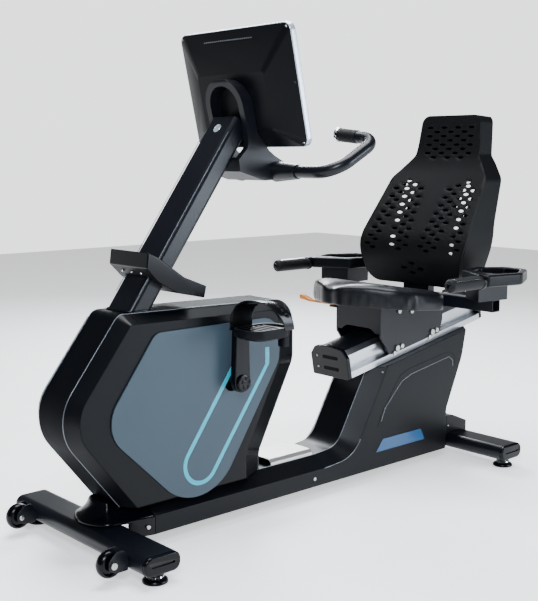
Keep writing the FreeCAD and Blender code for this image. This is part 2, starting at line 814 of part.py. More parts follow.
def crank_hole(label):
    return cylinder(label, f"{crank_opening}", "40", Vector(crank_x, cell("shroud_half_width") - 20, crank_z), across_y)


shroud_side = cut("shroud_side_pierced",
                  side_shell("shroud_side", shroud_outline, shroud_bevels, cell("shroud_half_width")),
                  crank_hole("shroud_crank_hole"))
node("shroud_right_shell", shroud_side)
node("shroud_left_shell", mirrored("shroud_side_left", shroud_side))


def mast_prism(label, half_depth, half_width, start, length, radius=0):
    outline = box_outline(-half_depth, half_depth, -half_width, half_width, radius)
    return moved(label, upward(label + "_prism", [outline], f"{start}", f"{length}"), mast_base, cell("mast_lean"))


mast_half_depth = cell("mast_depth") / 2
mast_half_width = cell("mast_width") / 2
band_outer, band_inner = centre_band("shroud_band", shroud_outline, open_sides=(0,))
mast_hole = mast_prism("mast_hole", mast_half_depth + seam, mast_half_width + seam, -80, 140, cell("mast_round"))
node("shroud_center_band", cut("shroud_band_open", band_outer, band_inner, mast_hole))

# the long side covers run from behind the front stabiliser to the seat column, and their
# upper edge turns up into the column's front bevel

cover_seam = cell("cover_seam_station")
cover_rear = wheelbase - 57
column_front = 909
column_rear = 1362
under_gap = 0.4
column_outline = [
    (cover_seam, cover_bottom),
    (cover_rear, cover_bottom),
    (cover_rear, 138, 15),
    (1345, 330, 120),
    (column_rear, rail_under(column_rear) - under_gap),
    (column_front, rail_under(column_front) - under_gap),
    (788, cover_top + 8, 70),
    (700, cover_top, 60),
    (cover_seam, cover_top),
]
cover_bevel = cell("cover_bevel")
column_bevels = [0, 22, 30, 34, 0, cover_bevel + 8, cover_bevel, cover_bevel, 0]
column_side = side_shell("column_side", column_outline, column_bevels, cell("cover_half_width"), open_sides=(0,))
node("right_side_cover", column_side)
node("left_side_cover", mirrored("column_side_left", column_side))
column_outer, column_inner = centre_band("column_band", column_outline, open_sides=(0, 4))


def opening_block(label, low_x, high_x, low_z, high_z, half_width):
    return across(label, [box_outline(low_x, high_x, low_z, high_z)], f"{2 * half_width}")


front_well = opening_block("front_well", cover_seam - 1, 425, cover_top - wall - 1, cover_top + 1, 48)


def beam_way(label, low_x, high_x):
    # where the frame's beam passes through a cover's end wall
    return opening_block(label, low_x, high_x, tube_top - 1, beam_top + seam, cell("beam_half_width") + seam)


node("center_cover", cut("column_band_open", column_outer, column_inner, front_well,
                         beam_way("beam_way_front", cover_seam - 1, cover_seam + 10),
                         beam_way("beam_way_rear", cover_rear - 10, cover_rear + 1)))


def step_section(inward):
    half = cell("step_half_width") - inward
    top = cell("step_top") - inward
    floor = cover_top + seam - (3 if inward else 0)
    return [(-half, floor), (half, floor), (half, top - 9), (half - 9, top), (9 - half, top), (-half, top - 9)]


step_block = lengthwise("step_block", [step_section(0)], "Sizes.step_front", "Sizes.step_rear - Sizes.step_front")
step_room = lengthwise("step_room", [step_section(cell("step_sheet"))], "Sizes.step_front - 1",
                       "692 - Sizes.step_front")
node("step_plate", cut("step_saddle", step_block, step_room))


def foot_hood(label, profile, plan, inner_plan, half_width, station):
    # cover over the middle of a stabiliser: side profile within a plan outline, hollow
    outer = common(label + "_outer", across(label + "_profile", [profile], f"{2 * half_width}"),
                   upward(label + "_plan", [plan], "0", "200"))
    open_bottom = [-10 if a[1] < 60 and b[1] < 60 else wall for a, b in zip(profile, profile[1:] + profile[:1])]
    inner = common(label + "_inner", across(label + "_room", [inset(profile, open_bottom)], f"{2 * half_width}"),
                   upward(label + "_room_plan", [inner_plan], "-20", "240"))
    tube = across(label + "_tube_room", [box_outline(station - tube_half - seam, station + tube_half + seam,
                                                     tube_bottom - seam, tube_top + seam, cell("tube_round"))],
                  "400")
    return cut(label, outer, inner, tube)


front_edge = -34
front_profile = [(front_edge, cover_bottom), (cover_seam - seam, cover_bottom), (cover_seam - seam, cover_top),
                 (lower_front, cover_top), (4, 97, 30), (front_edge, 84)]
cover_half = cell("cover_half_width")
front_plan = [(front_edge, -26, 18), (20, -80, 40), (70, -cover_half), (cover_seam - seam, -cover_half),
              (cover_seam - seam, cover_half), (70, cover_half), (20, 80, 40), (front_edge, 26, 18)]
front_hood = foot_hood("front_hood", front_profile, front_plan,
                       inset(front_plan, [wall, wall, wall, -5, wall, wall, wall, wall]), 99, 0)
post_way = opening_block("post_way", 69, cover_seam + 1, beam_top - 1, cover_top + 1, cell("post_half_width") + seam)
node("front_foot_cover", cut("front_hood_open", front_hood, post_way,
                             beam_way("beam_way_nose", cover_seam - 10, cover_seam)))
rear_edge = wheelbase + 62
rear_profile = [(cover_rear + seam, cover_bottom), (rear_edge, cover_bottom), (rear_edge, 96, 10),
                (cover_rear + 42, 128, 30), (cover_rear + seam, 132)]
rear_plan = box_outline(cover_rear + seam, rear_edge, -74, 74, 12)
rear_hood = foot_hood("rear_hood", rear_profile, rear_plan, inset(rear_plan, [wall, wall, wall, -5]), 80, wheelbase)
node("rear_foot_cover", cut("rear_hood_open", rear_hood, beam_way("beam_way_hood", cover_rear, cover_rear + 10)))

# ---- side panels, light strips, lenses -------------------------------------------------

panel_outline = [(-28, 318, 84), (270, 25, 135), (524, 414, 60), (530, 531, 60), (128, 531, 35)]
strip_centre = Vector(260, 184.6, 0)
arm_direction = Vector(math.sin(lean), math.cos(lean), 0)
arm_side = Vector(math.cos(lean), -math.sin(lean), 0)


def strip_corner(along, sideways, radius=0):
    point = strip_centre + arm_direction * along + arm_side * sideways
    return (point.x, point.y, radius)


def strip_outline(gap):
    outer = cell("strip_radius") + cell("strip_width") / 2 + gap
    inner = cell("strip_radius") - cell("strip_width") / 2 - gap
    short = cell("strip_short_arm")
    bend = cell("strip_long_arm")
    top = 453 + gap
    bend_outer = strip_corner(bend, outer)
    bend_inner = strip_corner(bend - 8, inner)
    return [strip_corner(short + gap, -outer), strip_corner(-outer, -outer, outer - 0.01),
            strip_corner(-outer, outer, outer - 0.01), (bend_outer[0], bend_outer[1], 20), (bend_outer[0], top),
            (bend_inner[0], top), (bend_inner[0], bend_inner[1], 12), strip_corner(-inner, inner, inner - 0.01),
            strip_corner(-inner, -inner, inner - 0.01), strip_corner(short + gap, -inner)]


panel_start = "Sizes.shroud_half_width + Sizes.seam"
panel_plate = side("panel_plate", [panel_outline, (crank_x, crank_z, crank_opening - 2)], panel_start,
                   "Sizes.panel_thickness")
strip_floor = panel_start + " + Sizes.panel_thickness - Sizes.strip_depth"
strip_groove = side("strip_groove", [strip_outline(seam)], strip_floor, "Sizes.strip_depth + 1")
pair("side_panels", cut("panel_grooved", panel_plate, strip_groove))
pair("light_strips", side("strip_light", [strip_outline(0)], strip_floor, "Sizes.strip_depth + Sizes.seam"))
lens_outline = [(910, 85), (1131, 85, 3), (1112, 121, 8), (940, 121, 8)]
pair("side_lenses", side("lens", [lens_outline], "Sizes.cover_half_width", "Sizes.lens_thickness"))

# ---- mast, accessory tray --------------------------------------------------------------

mast_bottom = -cell("mast_below")
mast_length = cell("mast_above") - mast_bottom
mast_body = upward("mast_tube", [box_outline(-mast_half_depth, mast_half_depth, -mast_half_width,
                                             mast_half_width, cell("mast_round"))],
                   "-Sizes.mast_below", f"{mast_length}")
mast_side = [(-mast_half_depth - 1, mast_bottom - 1), (mast_half_depth, mast_bottom - 1),
             (mast_half_depth, cell("mast_above"), cell("mast_back_round")),
             (-mast_half_depth - 1, cell("mast_above"))]
mast_solid = common("mast_rounded", mast_body, across("mast_side_profile", [mast_side], "Sizes.mast_width + 2"))
mast_inner = inset(box_outline(-mast_half_depth, mast_half_depth, -mast_half_width, mast_half_width,
                               cell("mast_round")), cell("mast_wall"))
mast_room = upward("mast_room", [mast_inner], "-Sizes.mast_below - 1", f"{mast_length - 70}")
mast_turned = cut("mast_hollow", mast_solid, mast_room)
node("mast", moved("mast_leaning", mast_turned, mast_base, cell("mast_lean")))

tray_half = cell("tray_half_width")
tray_profile = [(116, 684), (150, 650), (210, 617), (289, 599), (296, 628), (228, 655), (150, 709), (121, 722)]
tray_block = across("tray_block", [tray_profile], "2*Sizes.tray_half_width")
tray_room = across("tray_room", [[(127, 690), (156, 659), (214, 626), (291, 607), (310, 680), (236, 720),
                                  (160, 770), (112, 770)]], "2*Sizes.tray_half_width - 2*Sizes.tray_rim")
mast_way = mast_prism("tray_mast_way", mast_half_depth + seam, mast_half_width + seam, 0, 300,
                      cell("mast_round"))
node("accessory_tray", cut("tray_shaped", tray_block, tray_room, mast_way))

# ---- yoke, handlebar, console ----------------------------------------------------------

console_turn = -cell("console_lean")
console_lean = math.radians(cell("console_lean"))
console_out = Vector(math.cos(console_lean), 0, math.sin(console_lean))
console_up = Vector(-math.sin(console_lean), 0, math.cos(console_lean))
console_centre = Vector(cell("console_station"), 0, cell("console_height"))


def console_point(out, up):
    point = console_centre + console_out * out + console_up * up
    return (point.x, point.z)


back_plane = -cell("console_back_depth") - seam
half_tall = cell("console_tall") / 2
bar_x = cell("bar_station")
bar_z = cell("bar_height")
arch_top = 1140
yoke_outline = [
    (412, 908), (494, 884, 20), (572, 888, 12), (574, 926, 12), (530, 948, 30),
    console_point(-2, -half_tall - 8), console_point(back_plane, -108), console_point(back_plane, 42),
    (402, arch_top, 12), (432, 1030, 60), (440, 970, 20), (408, 938),
]
arch_floor = bar_z + 36


def arch(label, half_width, floor, top, start, length):
    # an upside-down U seen from the front, its head nearly a half circle
    head_round = half_width - 3
    legs = [(-half_width, floor), (half_width, floor), (half_width, top, head_round), (-half_width, top, head_round)]
    return lengthwise(label, [legs], f"{start}", f"{length}")


yoke_side = across("yoke_side", [yoke_outline], "2*Sizes.yoke_half_width + 20")
yoke_half = cell("yoke_half_width")
slot_half = cell("yoke_slot_half_width")
yoke_block = common("yoke_block", yoke_side, arch("yoke_arch", yoke_half, bar_z - 60, arch_top, 380, 240))
arch_room = arch("arch_room", slot_half, arch_floor, arch_top - (yoke_half - slot_half), 370, 260)
mast_clear = mast_prism("yoke_mast_clear", mast_half_depth + seam, mast_half_width + seam, 200, 400,
                        cell("mast_round"))
hub_cones = []
for number, sign in enumerate((-1, 1)):
    cone = doc.addObject("Part::Cone", f"hub_{number}")
    bind(cone, Radius1="Sizes.hub_radius", Radius2="Sizes.bar_radius + 3",
         Height="Sizes.hub_half_length - Sizes.yoke_half_width + 4")
    hub_start = Vector(bar_x, sign * (cell("yoke_half_width") - 4), bar_z)
    cone.Placement = Placement(hub_start, Rotation(up_z, across_y * sign))
    hub_cones.append(cone)
bar_way = cylinder("bar_way", "Sizes.bar_radius + Sizes.running_gap", "400", Vector(bar_x, -200, bar_z), across_y)
yoke_solid = fuse("yoke_solid", yoke_block, *hub_cones)
node("console_yoke", cut("yoke_shaped", yoke_solid, arch_room, mast_clear, bar_way))


def bar_path():
    # right half of the handlebar's middle line, from the centre plane to the grip's end
    span = cell("bar_half_span")
    outer = Vector(bar_x, span, bar_z)
    corner = Vector(bar_x + cell("bar_reach"), span, bar_z + cell("bar_rise"))
    finish = corner + Vector(-15, -cell("bar_grip_length"), 13)
    return [Vector(bar_x, 0, bar_z), outer, corner, finish]


def bent_wire(points, radii):
    # straight runs joined by tangent arcs
    edges = []
    start = points[0]
    for index, radius in enumerate(radii, start=1):
        back = (points[index - 1] - points[index]).normalize()
        ahead = (points[index + 1] - points[index]).normalize()
        half_angle = back.getAngle(ahead) / 2
        reach = radius / math.tan(half_angle)
        first = points[index] + back * reach
        last = points[index] + ahead * reach
        centre = points[index] + (back + ahead).normalize() * (radius / math.sin(half_angle))
        middle = centre + (points[index] - centre).normalize() * radius
        edges.append(Part.LineSegment(start, first).toShape())
        edges.append(Part.Arc(first, middle, last).toShape())
        start = last
    edges.append(Part.LineSegment(start, points[-1]).toShape())
    return Part.Wire(edges)


def tube_along(wire, outer, inner):
    start = wire.Edges[0].Vertexes[0].Point
    direction = wire.Edges[0].tangentAt(wire.Edges[0].FirstParameter)
    solids = []
    for radius in (outer, inner):
        circle = Part.Wire(Part.makeCircle(radius, start, direction))
        solids.append(wire.makePipeShell([circle], True, False))
    return solids[0].cut(solids[1]) if inner > 0 else solids[0]


half_bar = tube_along(bent_wire(bar_path(), [62, 44]), cell("bar_radius"), cell("bar_radius") - cell("bar_wall"))
whole_bar = half_bar.fuse(half_bar.mirror(Vector(0, 0, 0), Vector(0, 1, 0))).removeSplitter()
node("handlebar", shaped("bar_tube", whole_bar))


def grip_sleeve():
    # rubber sleeve over the last stretch, with a domed plug closing the tube
    points = bar_path()
    along = (points[3] - points[2]).normalize()
    start = points[3] - along * (cell("bar_grip_length") - 60)
    length = cell("bar_grip_length") - 66
    outer = cell("bar_radius") + cell("sleeve_thickness")
    sleeve = Part.makeCylinder(outer, length, start, along)
    sleeve = sleeve.cut(Part.makeCylinder(cell("bar_radius"), length + 2, start - along, along))
    plug = Part.makeCylinder(cell("bar_radius"), 7, points[3], along)
    plug = plug.fuse(Part.makeCylinder(cell("bar_radius") - cell("bar_wall") - seam, 20, points[3] - along * 20, along))
    return sleeve, plug.removeSplitter()


sleeve_shape, plug_shape = grip_sleeve()
sleeve = shaped("bar_sleeve", sleeve_shape)
plug = shaped("bar_plug", plug_shape)
node("handlebar_sleeves", sleeve, plug, mirrored("bar_sleeve_left", sleeve), mirrored("bar_plug_left", plug))

half_wide = cell("console_width") / 2
console_edge = box_outline(-half_wide, half_wide, -half_tall, half_tall, cell("console_round"))


def console_piece(label, outlines, start, depth):
    return moved(label + "_leaning", lengthwise(label, outlines, start, depth), console_centre, console_turn)


node("console_bezel", console_piece("bezel", [console_edge, inset(console_edge, cell("bezel_rim"))], "0",
                                    "Sizes.bezel_depth"))
screen_edge = inset(console_edge, cell("bezel_rim") + seam)
node("console_screen", console_piece("screen", [screen_edge], "Sizes.bezel_depth - Sizes.screen_thickness - 2",
                                     "Sizes.screen_thickness"))


def back_shell_loft(inward):
    edge = inset(console_edge, 2 + inward)
    flat = inset(box_outline(-130, 130, -106, 44, 12), inward)
    depth = cell("console_back_depth") - inward
    wires = []
    for corners, x in ((edge, 0.01 if inward else 0), (flat, -depth)):
        edges = [curve.toShape() for curve in round_corners(corners)]
        wire = Part.Wire(Part.sortEdges(edges)[0])
        turn = FreeCAD.Matrix(0, 0, 1, x, 1, 0, 0, 0, 0, 1, 0, 0, 0, 0, 0, 1)
        wires.append(wire.transformGeometry(turn))
    return Part.makeLoft(wires, True, True)


back_shell = back_shell_loft(0).cut(back_shell_loft(wall))
node("console_back_shell", moved("back_shell_leaning", shaped("back_shell", back_shell), console_centre, console_turn))

# ---- seat rail -------------------------------------------------------------------------

rail_turn = -cell("rail_slope")
rail_start = Vector(cell("rail_front"), 0, cell("rail_front_height"))
rail_along = Vector(math.cos(slope), 0, math.sin(slope))
rail_up = Vector(-math.sin(slope), 0, math.cos(slope))
flange = cell("rail_half_width")
waist = cell("rail_waist")
groove_floor = cell("rail_flange")
groove_roof = groove_floor + cell("rail_groove")
body_top = cell("rail_body")


def rail_piece(label, outlines, start, length):
    return moved(label + "_sloped", lengthwise(label, outlines, start, length), rail_start, rail_turn)


rail_section = [(-flange, 0, 2), (flange, 0, 2), (flange, groove_floor, 2), (waist, groove_floor), (waist, groove_roof),
                (66, groove_roof), (66, 68), (52, body_top), (-52, body_top), (-66, 68), (-66, groove_roof),
                (-waist, groove_roof), (-waist, groove_floor), (-flange, groove_floor, 2)]
rail_cavity = box_outline(-waist + 5, waist - 5, 5, body_top - 5, 4)
node("seat_rail", rail_piece("rail_bar", [rail_section, rail_cavity], "0", "Sizes.rail_length"))


def crown_section():
    # thin arched cover lying on the rail's flat top
    rise = cell("rail_crown")
    half = 50
    points = ((-half, body_top), (0, body_top + rise), (half, body_top))
    inner = ((-half + 5, body_top), (0, body_top + rise - 3), (half - 5, body_top))
    outer_arc = Part.Arc(*[Vector(x, y, 0) for x, y in points])
    inner_arc = Part.Arc(*[Vector(x, y, 0) for x, y in inner])
    return [outer_arc, Part.LineSegment(Vector(half, body_top, 0), Vector(half - 5, body_top, 0)), inner_arc,
            Part.LineSegment(Vector(-half + 5, body_top, 0), Vector(-half, body_top, 0))]


crown_body = new_body("crown")
crown_sketch = add_sketch(crown_body, "YZ_Plane", [], "0")
crown_sketch.addGeometry(crown_section())
pad(crown_body, crown_sketch, "Sizes.rail_length")
node("rail_top_cover", moved("crown_sloped", crown_body, rail_start, rail_turn))

cap_section = [(-73, -3, 6), (73, -3, 6), (73, 62, 6), (54, 86, 10), (0, 94, 120), (-54, 86, 10), (-73, 62, 6)]
front_rail_cap = rail_piece("front_rail_cap", [cap_section], "-Sizes.rail_cap_thickness", "Sizes.rail_cap_thickness")
rear_rail_cap = rail_piece("rear_rail_cap", [box_outline(-flange, flange, 0, 84, 6)], "Sizes.rail_length",
                           "Sizes.rail_cap_thickness")
node("rail_end_caps", front_rail_cap, rear_rail_cap)

# ---- seat carriage ---------------------------------------------------------------------

plate_inner = cell("carriage_plate_inner")
plate_outer = plate_inner + cell("carriage_plate")
front_x = cell("carriage_front")
rear_x = cell("carriage_rear")
front_top = cell("carriage_front_height")
rear_top = cell("carriage_rear_height")


def seat_level(x):
    # top of the carriage's seat plate at a station
    return front_top + (rear_top - front_top) * (x - front_x) / (rear_x - front_x)


def above_flange(x, gap):
    return rail_under(x) + (groove_floor + gap) / math.cos(slope)


roller_height = (groove_floor + groove_roof) / 2
roller_radius = cell("rail_groove") / 2 - cell("roller_gap")
roller_axle_radius = 5


def roller_centre(station):
    # a point on the rollers' axle line, half way up the groove
    along = (station - cell("rail_front") + roller_height * math.sin(slope)) / math.cos(slope)
    return rail_start + rail_along * along + rail_up * roller_height


front_axle = roller_centre(cell("front_roller_station"))
rear_axle = roller_centre(cell("rear_roller_station"))
plate_outline = [
    (front_x, seat_level(front_x) - 4), (front_x, 424, 20), (front_x + 42, above_flange(front_x + 42, 6), 14),
    (rear_x - 12, above_flange(rear_x - 12, 6), 10), (rear_x, 450, 10), (rear_x, seat_level(rear_x) - 4),
]
axle_holes = [(axle.x, axle.z, roller_axle_radius) for axle in (front_axle, rear_axle)]
side_plate = side("carriage_side", [plate_outline] + axle_holes, "Sizes.carriage_plate_inner", "Sizes.carriage_plate")
rail_top_here = rail_under(front_x) + (body_top + cell("rail_crown")) / math.cos(slope)
front_opening = [(-plate_inner, 432), (-68, 432), (-48, rail_top_here + 22, 20), (48, rail_top_here + 22, 20),
                 (68, 432), (plate_inner, 432), (plate_inner, front_top - 5), (-plate_inner, front_top - 5)]
front_plate = lengthwise("carriage_front_plate", [front_opening], "Sizes.carriage_front", "4")
seat_plate = across("seat_plate", [[(front_x - 6, seat_level(front_x - 6)), (front_x - 6, seat_level(front_x - 6) - 4),
                                    (1222, seat_level(1222) - 4), (1222, seat_level(1222))]], f"{2 * plate_outer}")


back_lean = 0.636


def back_line(height):
    # rear face of the backrest panel where it runs straight
    return 1200 + back_lean * (height - 730) + 9


spine_top = 900
spine_deep = cell("spine_depth") / math.cos(math.atan(back_lean))
spine_knee = 730 + (1192 - back_line(730)) / back_lean
spine_outline = [
    (1192, seat_level(1192) - 2), (1220, seat_level(1220) - 2), (1220, spine_knee, 40),
    (back_line(spine_top) + spine_deep, spine_top), (back_line(spine_top), spine_top),
    (1192, spine_knee, 40),
]
spine = across("spine", [spine_outline], "2*Sizes.spine_half_width")

shoe_half = cell("shoe_side") / 2
shoe_along = 220
guide_floor = body_top + cell("rail_crown") + 12


def rail_upright(label, outlines, bottom, height):
    # a piece standing square on the rail above the brake shoe
    return moved(label + "_sloped", upward(label, outlines, bottom, height), rail_start, rail_turn)


def square_on_rail(half):
    return box_outline(shoe_along - half, shoe_along + half, -half, half)


guide = rail_upright("shoe_guide", [square_on_rail(shoe_half + 6), square_on_rail(shoe_half + 0.08)],
                     f"{guide_floor}", "Sizes.shoe_height + Sizes.shoe_lift + 6")
trim_block = across("guide_trim", [[(960, seat_level(960) - 2), (1120, seat_level(1120) - 2), (1120, 700), (960, 700)]], "80")
guide_trimmed = cut("guide_trimmed", guide, trim_block)
lever_x = 937
lever_pivot_y = 104
lever_z = 498
pivot_shelf = upward("pivot_shelf", [box_outline(lever_x - 12, lever_x + 12, plate_outer - 1, lever_pivot_y + 12, 2)],
                     f"{lever_z - 5}", "5")
pivot_pin = cylinder("pivot_pin", "4", "9", Vector(lever_x, lever_pivot_y, lever_z - 1), up_z)
node("seat_carriage", fuse("carriage_welded", side_plate, mirrored("carriage_side_left", side_plate), front_plate,
                           seat_plate, spine, guide_trimmed, pivot_shelf, pivot_pin))


def roller(label, axle, sign):
    start = axle + across_y * sign * (waist + 5)
    disc = cylinder(label + "_disc", f"{roller_radius}", "Sizes.roller_width", start, across_y * sign)
    bore = cylinder(label + "_bore", f"{roller_axle_radius + cell('running_gap')}", "Sizes.roller_width + 2",
                    start - across_y * sign, across_y * sign)
    return cut(label, disc, bore)


node("front_rollers", roller("front_roller_left", front_axle, -1), roller("front_roller_right", front_axle, 1))
node("rear_rollers", roller("rear_roller_left", rear_axle, -1), roller("rear_roller_right", rear_axle, 1))


def roller_bolt(label, axle):
    start = waist + 4
    shank = cylinder(label + "_shank", f"{roller_axle_radius}", f"{plate_outer + 1 - start}",
                     axle + across_y * start, across_y)
    head = cylinder(label + "_head", "9", "6", axle + across_y * plate_outer, across_y)
    return fuse(label, shank, head)




def small_bolt(label, x, z):
    return cylinder(label, "7", "5", Vector(x, plate_outer, z), across_y)


carriage_bolts = [roller_bolt("front_axle_bolt", front_axle), roller_bolt("rear_axle_bolt", rear_axle)]
for number, axle in enumerate((front_axle, rear_axle)):
    ahead = axle + rail_along * 22
    below = axle - rail_along * 14 - rail_up * 12
    carriage_bolts.append(small_bolt(f"guide_bolt_{number}", ahead.x, ahead.z))
    carriage_bolts.append(small_bolt(f"adjuster_bolt_{number}", below.x, below.z))
for number, x in enumerate((1010, 1066)):
    carriage_bolts.append(small_bolt(f"pan_bolt_{number}", x, seat_level(x) - 12))
node("carriage_bolts", *carriage_bolts,
     *[mirrored(f"bolt_left_{number}", bolt) for number, bolt in enumerate(carriage_bolts)])

shoe = rail_upright("shoe", [square_on_rail(shoe_half)], f"{body_top + cell('rail_crown') + cell('soft_gap')}",
                    "Sizes.shoe_height")
node("brake_shoe", shoe)
lever_reach = cell("lever_length")
lever_half = cell("lever_width") / 2
lever_outline = [(lever_x - lever_half, lever_pivot_y - 10, 8), (lever_x + lever_half, lever_pivot_y - 10, 8),
                 (lever_x + lever_half, lever_pivot_y + lever_reach, 8.9),
                 (lever_x - lever_half, lever_pivot_y + lever_reach, 8.9)]
lever_hole = (lever_x, lever_pivot_y, 4 + cell("running_gap"))
node("adjust_lever", upward("lever_paddle", [lever_outline, lever_hole], f"{lever_z + 0.3}", "Sizes.lever_thickness"))

# ---- seat cushion, backrest ------------------------------------------------------------

seat_slope = (rear_top - front_top) / (rear_x - front_x)
seat_turn = math.degrees(math.atan(-seat_slope))
cushion_front = cell("cushion_front")
cushion_rear = cell("cushion_rear")
cushion_half = cell("cushion_half_width")
cushion_length = cushion_rear - cushion_front
cushion_plan = [
    (7, 0, 10), (0, -30, 30), (48, -108, 90), (100, -170, 60), (152, -cushion_half, 50),
    (cushion_length, -cushion_half, 60), (cushion_length, cushion_half, 60), (152, cushion_half, 50),
    (100, 170, 60), (48, 108, 90), (0, 30, 30),
]
cushion_body = upward("cushion_pad", [cushion_plan], "0", "Sizes.cushion_thickness + Sizes.seat_board")
cushion_top = cell("cushion_thickness") + cell("seat_board")
soften(cushion_body, "Sizes.cushion_edge", lambda edge: edge.BoundBox.ZMin > cushion_top - 0.01)
board_inset = 14
board_place = Vector(cushion_front, 0, seat_level(cushion_front))
board = upward("board_plate", [inset(cushion_plan, board_inset)], "0", "Sizes.seat_board")
node("seat_board", moved("board_placed", board, board_place, seat_turn))
# the cover is drawn down around the board, and stays a little above the plane it is bolted to
board_room = upward("board_room", [inset(cushion_plan, board_inset - cell("soft_gap"))], "-1",
                    "Sizes.seat_board + Sizes.soft_gap + 1")
cushion_wrap = cut("cushion_wrap", cushion_body, board_room)
cushion_lift = upward("cushion_lift_room", [box_outline(-10, 500, -300, 300)], "-1", "1 + Sizes.seat_board_lip")
node("seat_cushion", moved("cushion_placed", cut("cushion_trimmed", cushion_wrap, cushion_lift), board_place, seat_turn))

panel_front = [(1184, 552), (1157, 663, 185), (1335, 942, 110), (1350, 1074)]
frame_rear = [(1418, 1068), (1396, 925, 100), (1322, 740, 200), (1292, 590)]
panel_gap = cell("back_panel")
panel_strip = panel_front + [(1350 + panel_gap, 1073.5), (1335 + panel_gap, 941, 110 - panel_gap),
                             (1157 + panel_gap * 1.05, 661.2, 185 - panel_gap), (1184 + panel_gap, 553)]
rear_edge_of_panel = list(reversed(panel_strip[4:]))
front_outline = [(112, 1074, 30), (125, 948, 25), (186, 878, 40), (212, 690, 200), (178, 552, 60),
                 (-178, 552, 60), (-212, 690, 200), (-186, 878, 40), (-125, 948, 25), (-112, 1074, 30)]


def seen_from_front(label, outline):
    return lengthwise(label, [outline], "1100", "400")


node("backrest_panel", common("panel_shaped", across("panel_strip", [panel_strip], "500"),
                              seen_from_front("panel_front_outline", front_outline)))
frame_block = across("frame_block", [rear_edge_of_panel + frame_rear], "500")
frame_outer = common("frame_outer", frame_block, seen_from_front("frame_outline", front_outline))
frame_room = seen_from_front("frame_room", inset(front_outline, cell("back_rim")))
cross_bars = []
for number, height in enumerate((700, 868)):
    start = back_line(height) + spine_deep + 0.2
    bar = across(f"cross_bar_{number}", [[(start, height), (start + 10, height), (start + 10 + back_lean * 26, height + 26),
                                          (start + back_lean * 26, height + 26)]], "500")
    cross_bars.append(common(f"cross_bar_fitted_{number}", bar,
                             seen_from_front(f"bar_outline_{number}", inset(front_outline, 2))))
ring_only = cut("frame_ring", frame_outer, frame_room)
# liner behind the shell, with a long window on each side for air
liner_gap = cell("liner_gap")
liner_back = liner_gap + cell("liner_thickness")
liner_strip = [(x + liner_gap, z, *radius) for x, z, *radius in panel_front]
liner_strip += [(x + liner_back, z, *radius) for x, z, *radius in reversed(panel_front)]
windows = [box_outline(low_y, low_y + 45, 640, 880, 18) for low_y in (-140, 95)]
liner_front = lengthwise("liner_front", [inset(front_outline, 4)] + windows, "1100", "400")
liner = common("back_liner", across("liner_side", [liner_strip], "500"), liner_front)
spine_way = across("spine_way", [inset(spine_outline, -cell("soft_gap"))], "2*Sizes.spine_half_width + 0.6")
node("backrest_frame", cut("frame_notched", fuse("frame_with_bars", ring_only, liner, *cross_bars), spine_way))

# ---- armrests --------------------------------------------------------------------------

tube = cell("cross_tube")
tube_rear = 1192
cross_section = box_outline(tube_rear - tube, tube_rear, cell("support_bottom") - tube, cell("support_bottom"), 4)
cross_tube = across("cross_tube_bar", [cross_section, inset(cross_section, 3)], "2*316")
support_plan = [(1090, 315), (1133, 238), (1245, 250), (1206, 331)]
support = upward("support_box", [support_plan], "Sizes.support_bottom", "Sizes.armrest_bottom - Sizes.support_bottom")
node("armrest_frame", cross_tube, support, mirrored("support_left", support))

tray_plan = [(1064, 330, 8), (1130, 220, 25), (1225, 200, 30), (1300, 258, 25), (1295, 338, 30), (1190, 392, 40),
             (1064, 366, 8)]
recess_plan = [(1140, 258, 12), (1222, 222, 16), (1278, 268, 12), (1274, 325, 14), (1190, 370, 20), (1122, 350, 10)]
tray_body = upward("armrest_block", [tray_plan], "Sizes.armrest_bottom", "Sizes.armrest_top - Sizes.armrest_bottom")
recess = upward("armrest_recess", [recess_plan], "Sizes.armrest_bottom + 12", "60")
pair("armrest_trays", cut("armrest_hollowed", tray_body, recess))

grip_axis = Vector(cell("grip_root") + 2, cell("armrest_spread"), cell("grip_height"))
grip_length = cell("grip_root") - cell("grip_tip")
grip_cylinder = cylinder("grip_bar", "Sizes.grip_radius", f"{grip_length + 2 - cell('grip_radius') * 0.6}", grip_axis, -along_x)
grip_tip_ball = doc.addObject("Part::Ellipsoid", "grip_tip_dome")
bind(grip_tip_ball, Radius1="Sizes.grip_radius*0.6", Radius2="Sizes.grip_radius", Radius3="Sizes.grip_radius")
grip_tip_ball.Placement = Placement(grip_axis - along_x * (grip_length + 2 - cell("grip_radius") * 0.6),
                                    Rotation(up_z, along_x))
pair("seat_grips", fuse("grip_solid", grip_cylinder, grip_tip_ball))


def contact_plate(label, start, length):
    # curved metal plate lying on top of the grip
    inner = cell("grip_radius")
    outer = inner + cell("contact_plate")
    centre = Vector(cell("armrest_spread"), cell("grip_height"), 0)
    half_angle = math.radians(50)

    def at(radius, angle):
        return centre + Vector(math.sin(angle), math.cos(angle), 0) * radius

    body = new_body(label)
    sketch = add_sketch(body, "YZ_Plane", [], f"{start}")
    sketch.addGeometry([
        Part.Arc(at(outer, -half_angle), at(outer, 0), at(outer, half_angle)),
        Part.LineSegment(at(outer, half_angle), at(inner, half_angle)),
        Part.Arc(at(inner, half_angle), at(inner, 0), at(inner, -half_angle)),
        Part.LineSegment(at(inner, -half_angle), at(outer, -half_angle)),
    ])
    pad(body, sketch, f"{length}")
    return body


pair("pulse_contacts", contact_plate("contact_front", cell("grip_tip") + 20, 104))

# ---- fasteners -------------------------------------------------------------------------

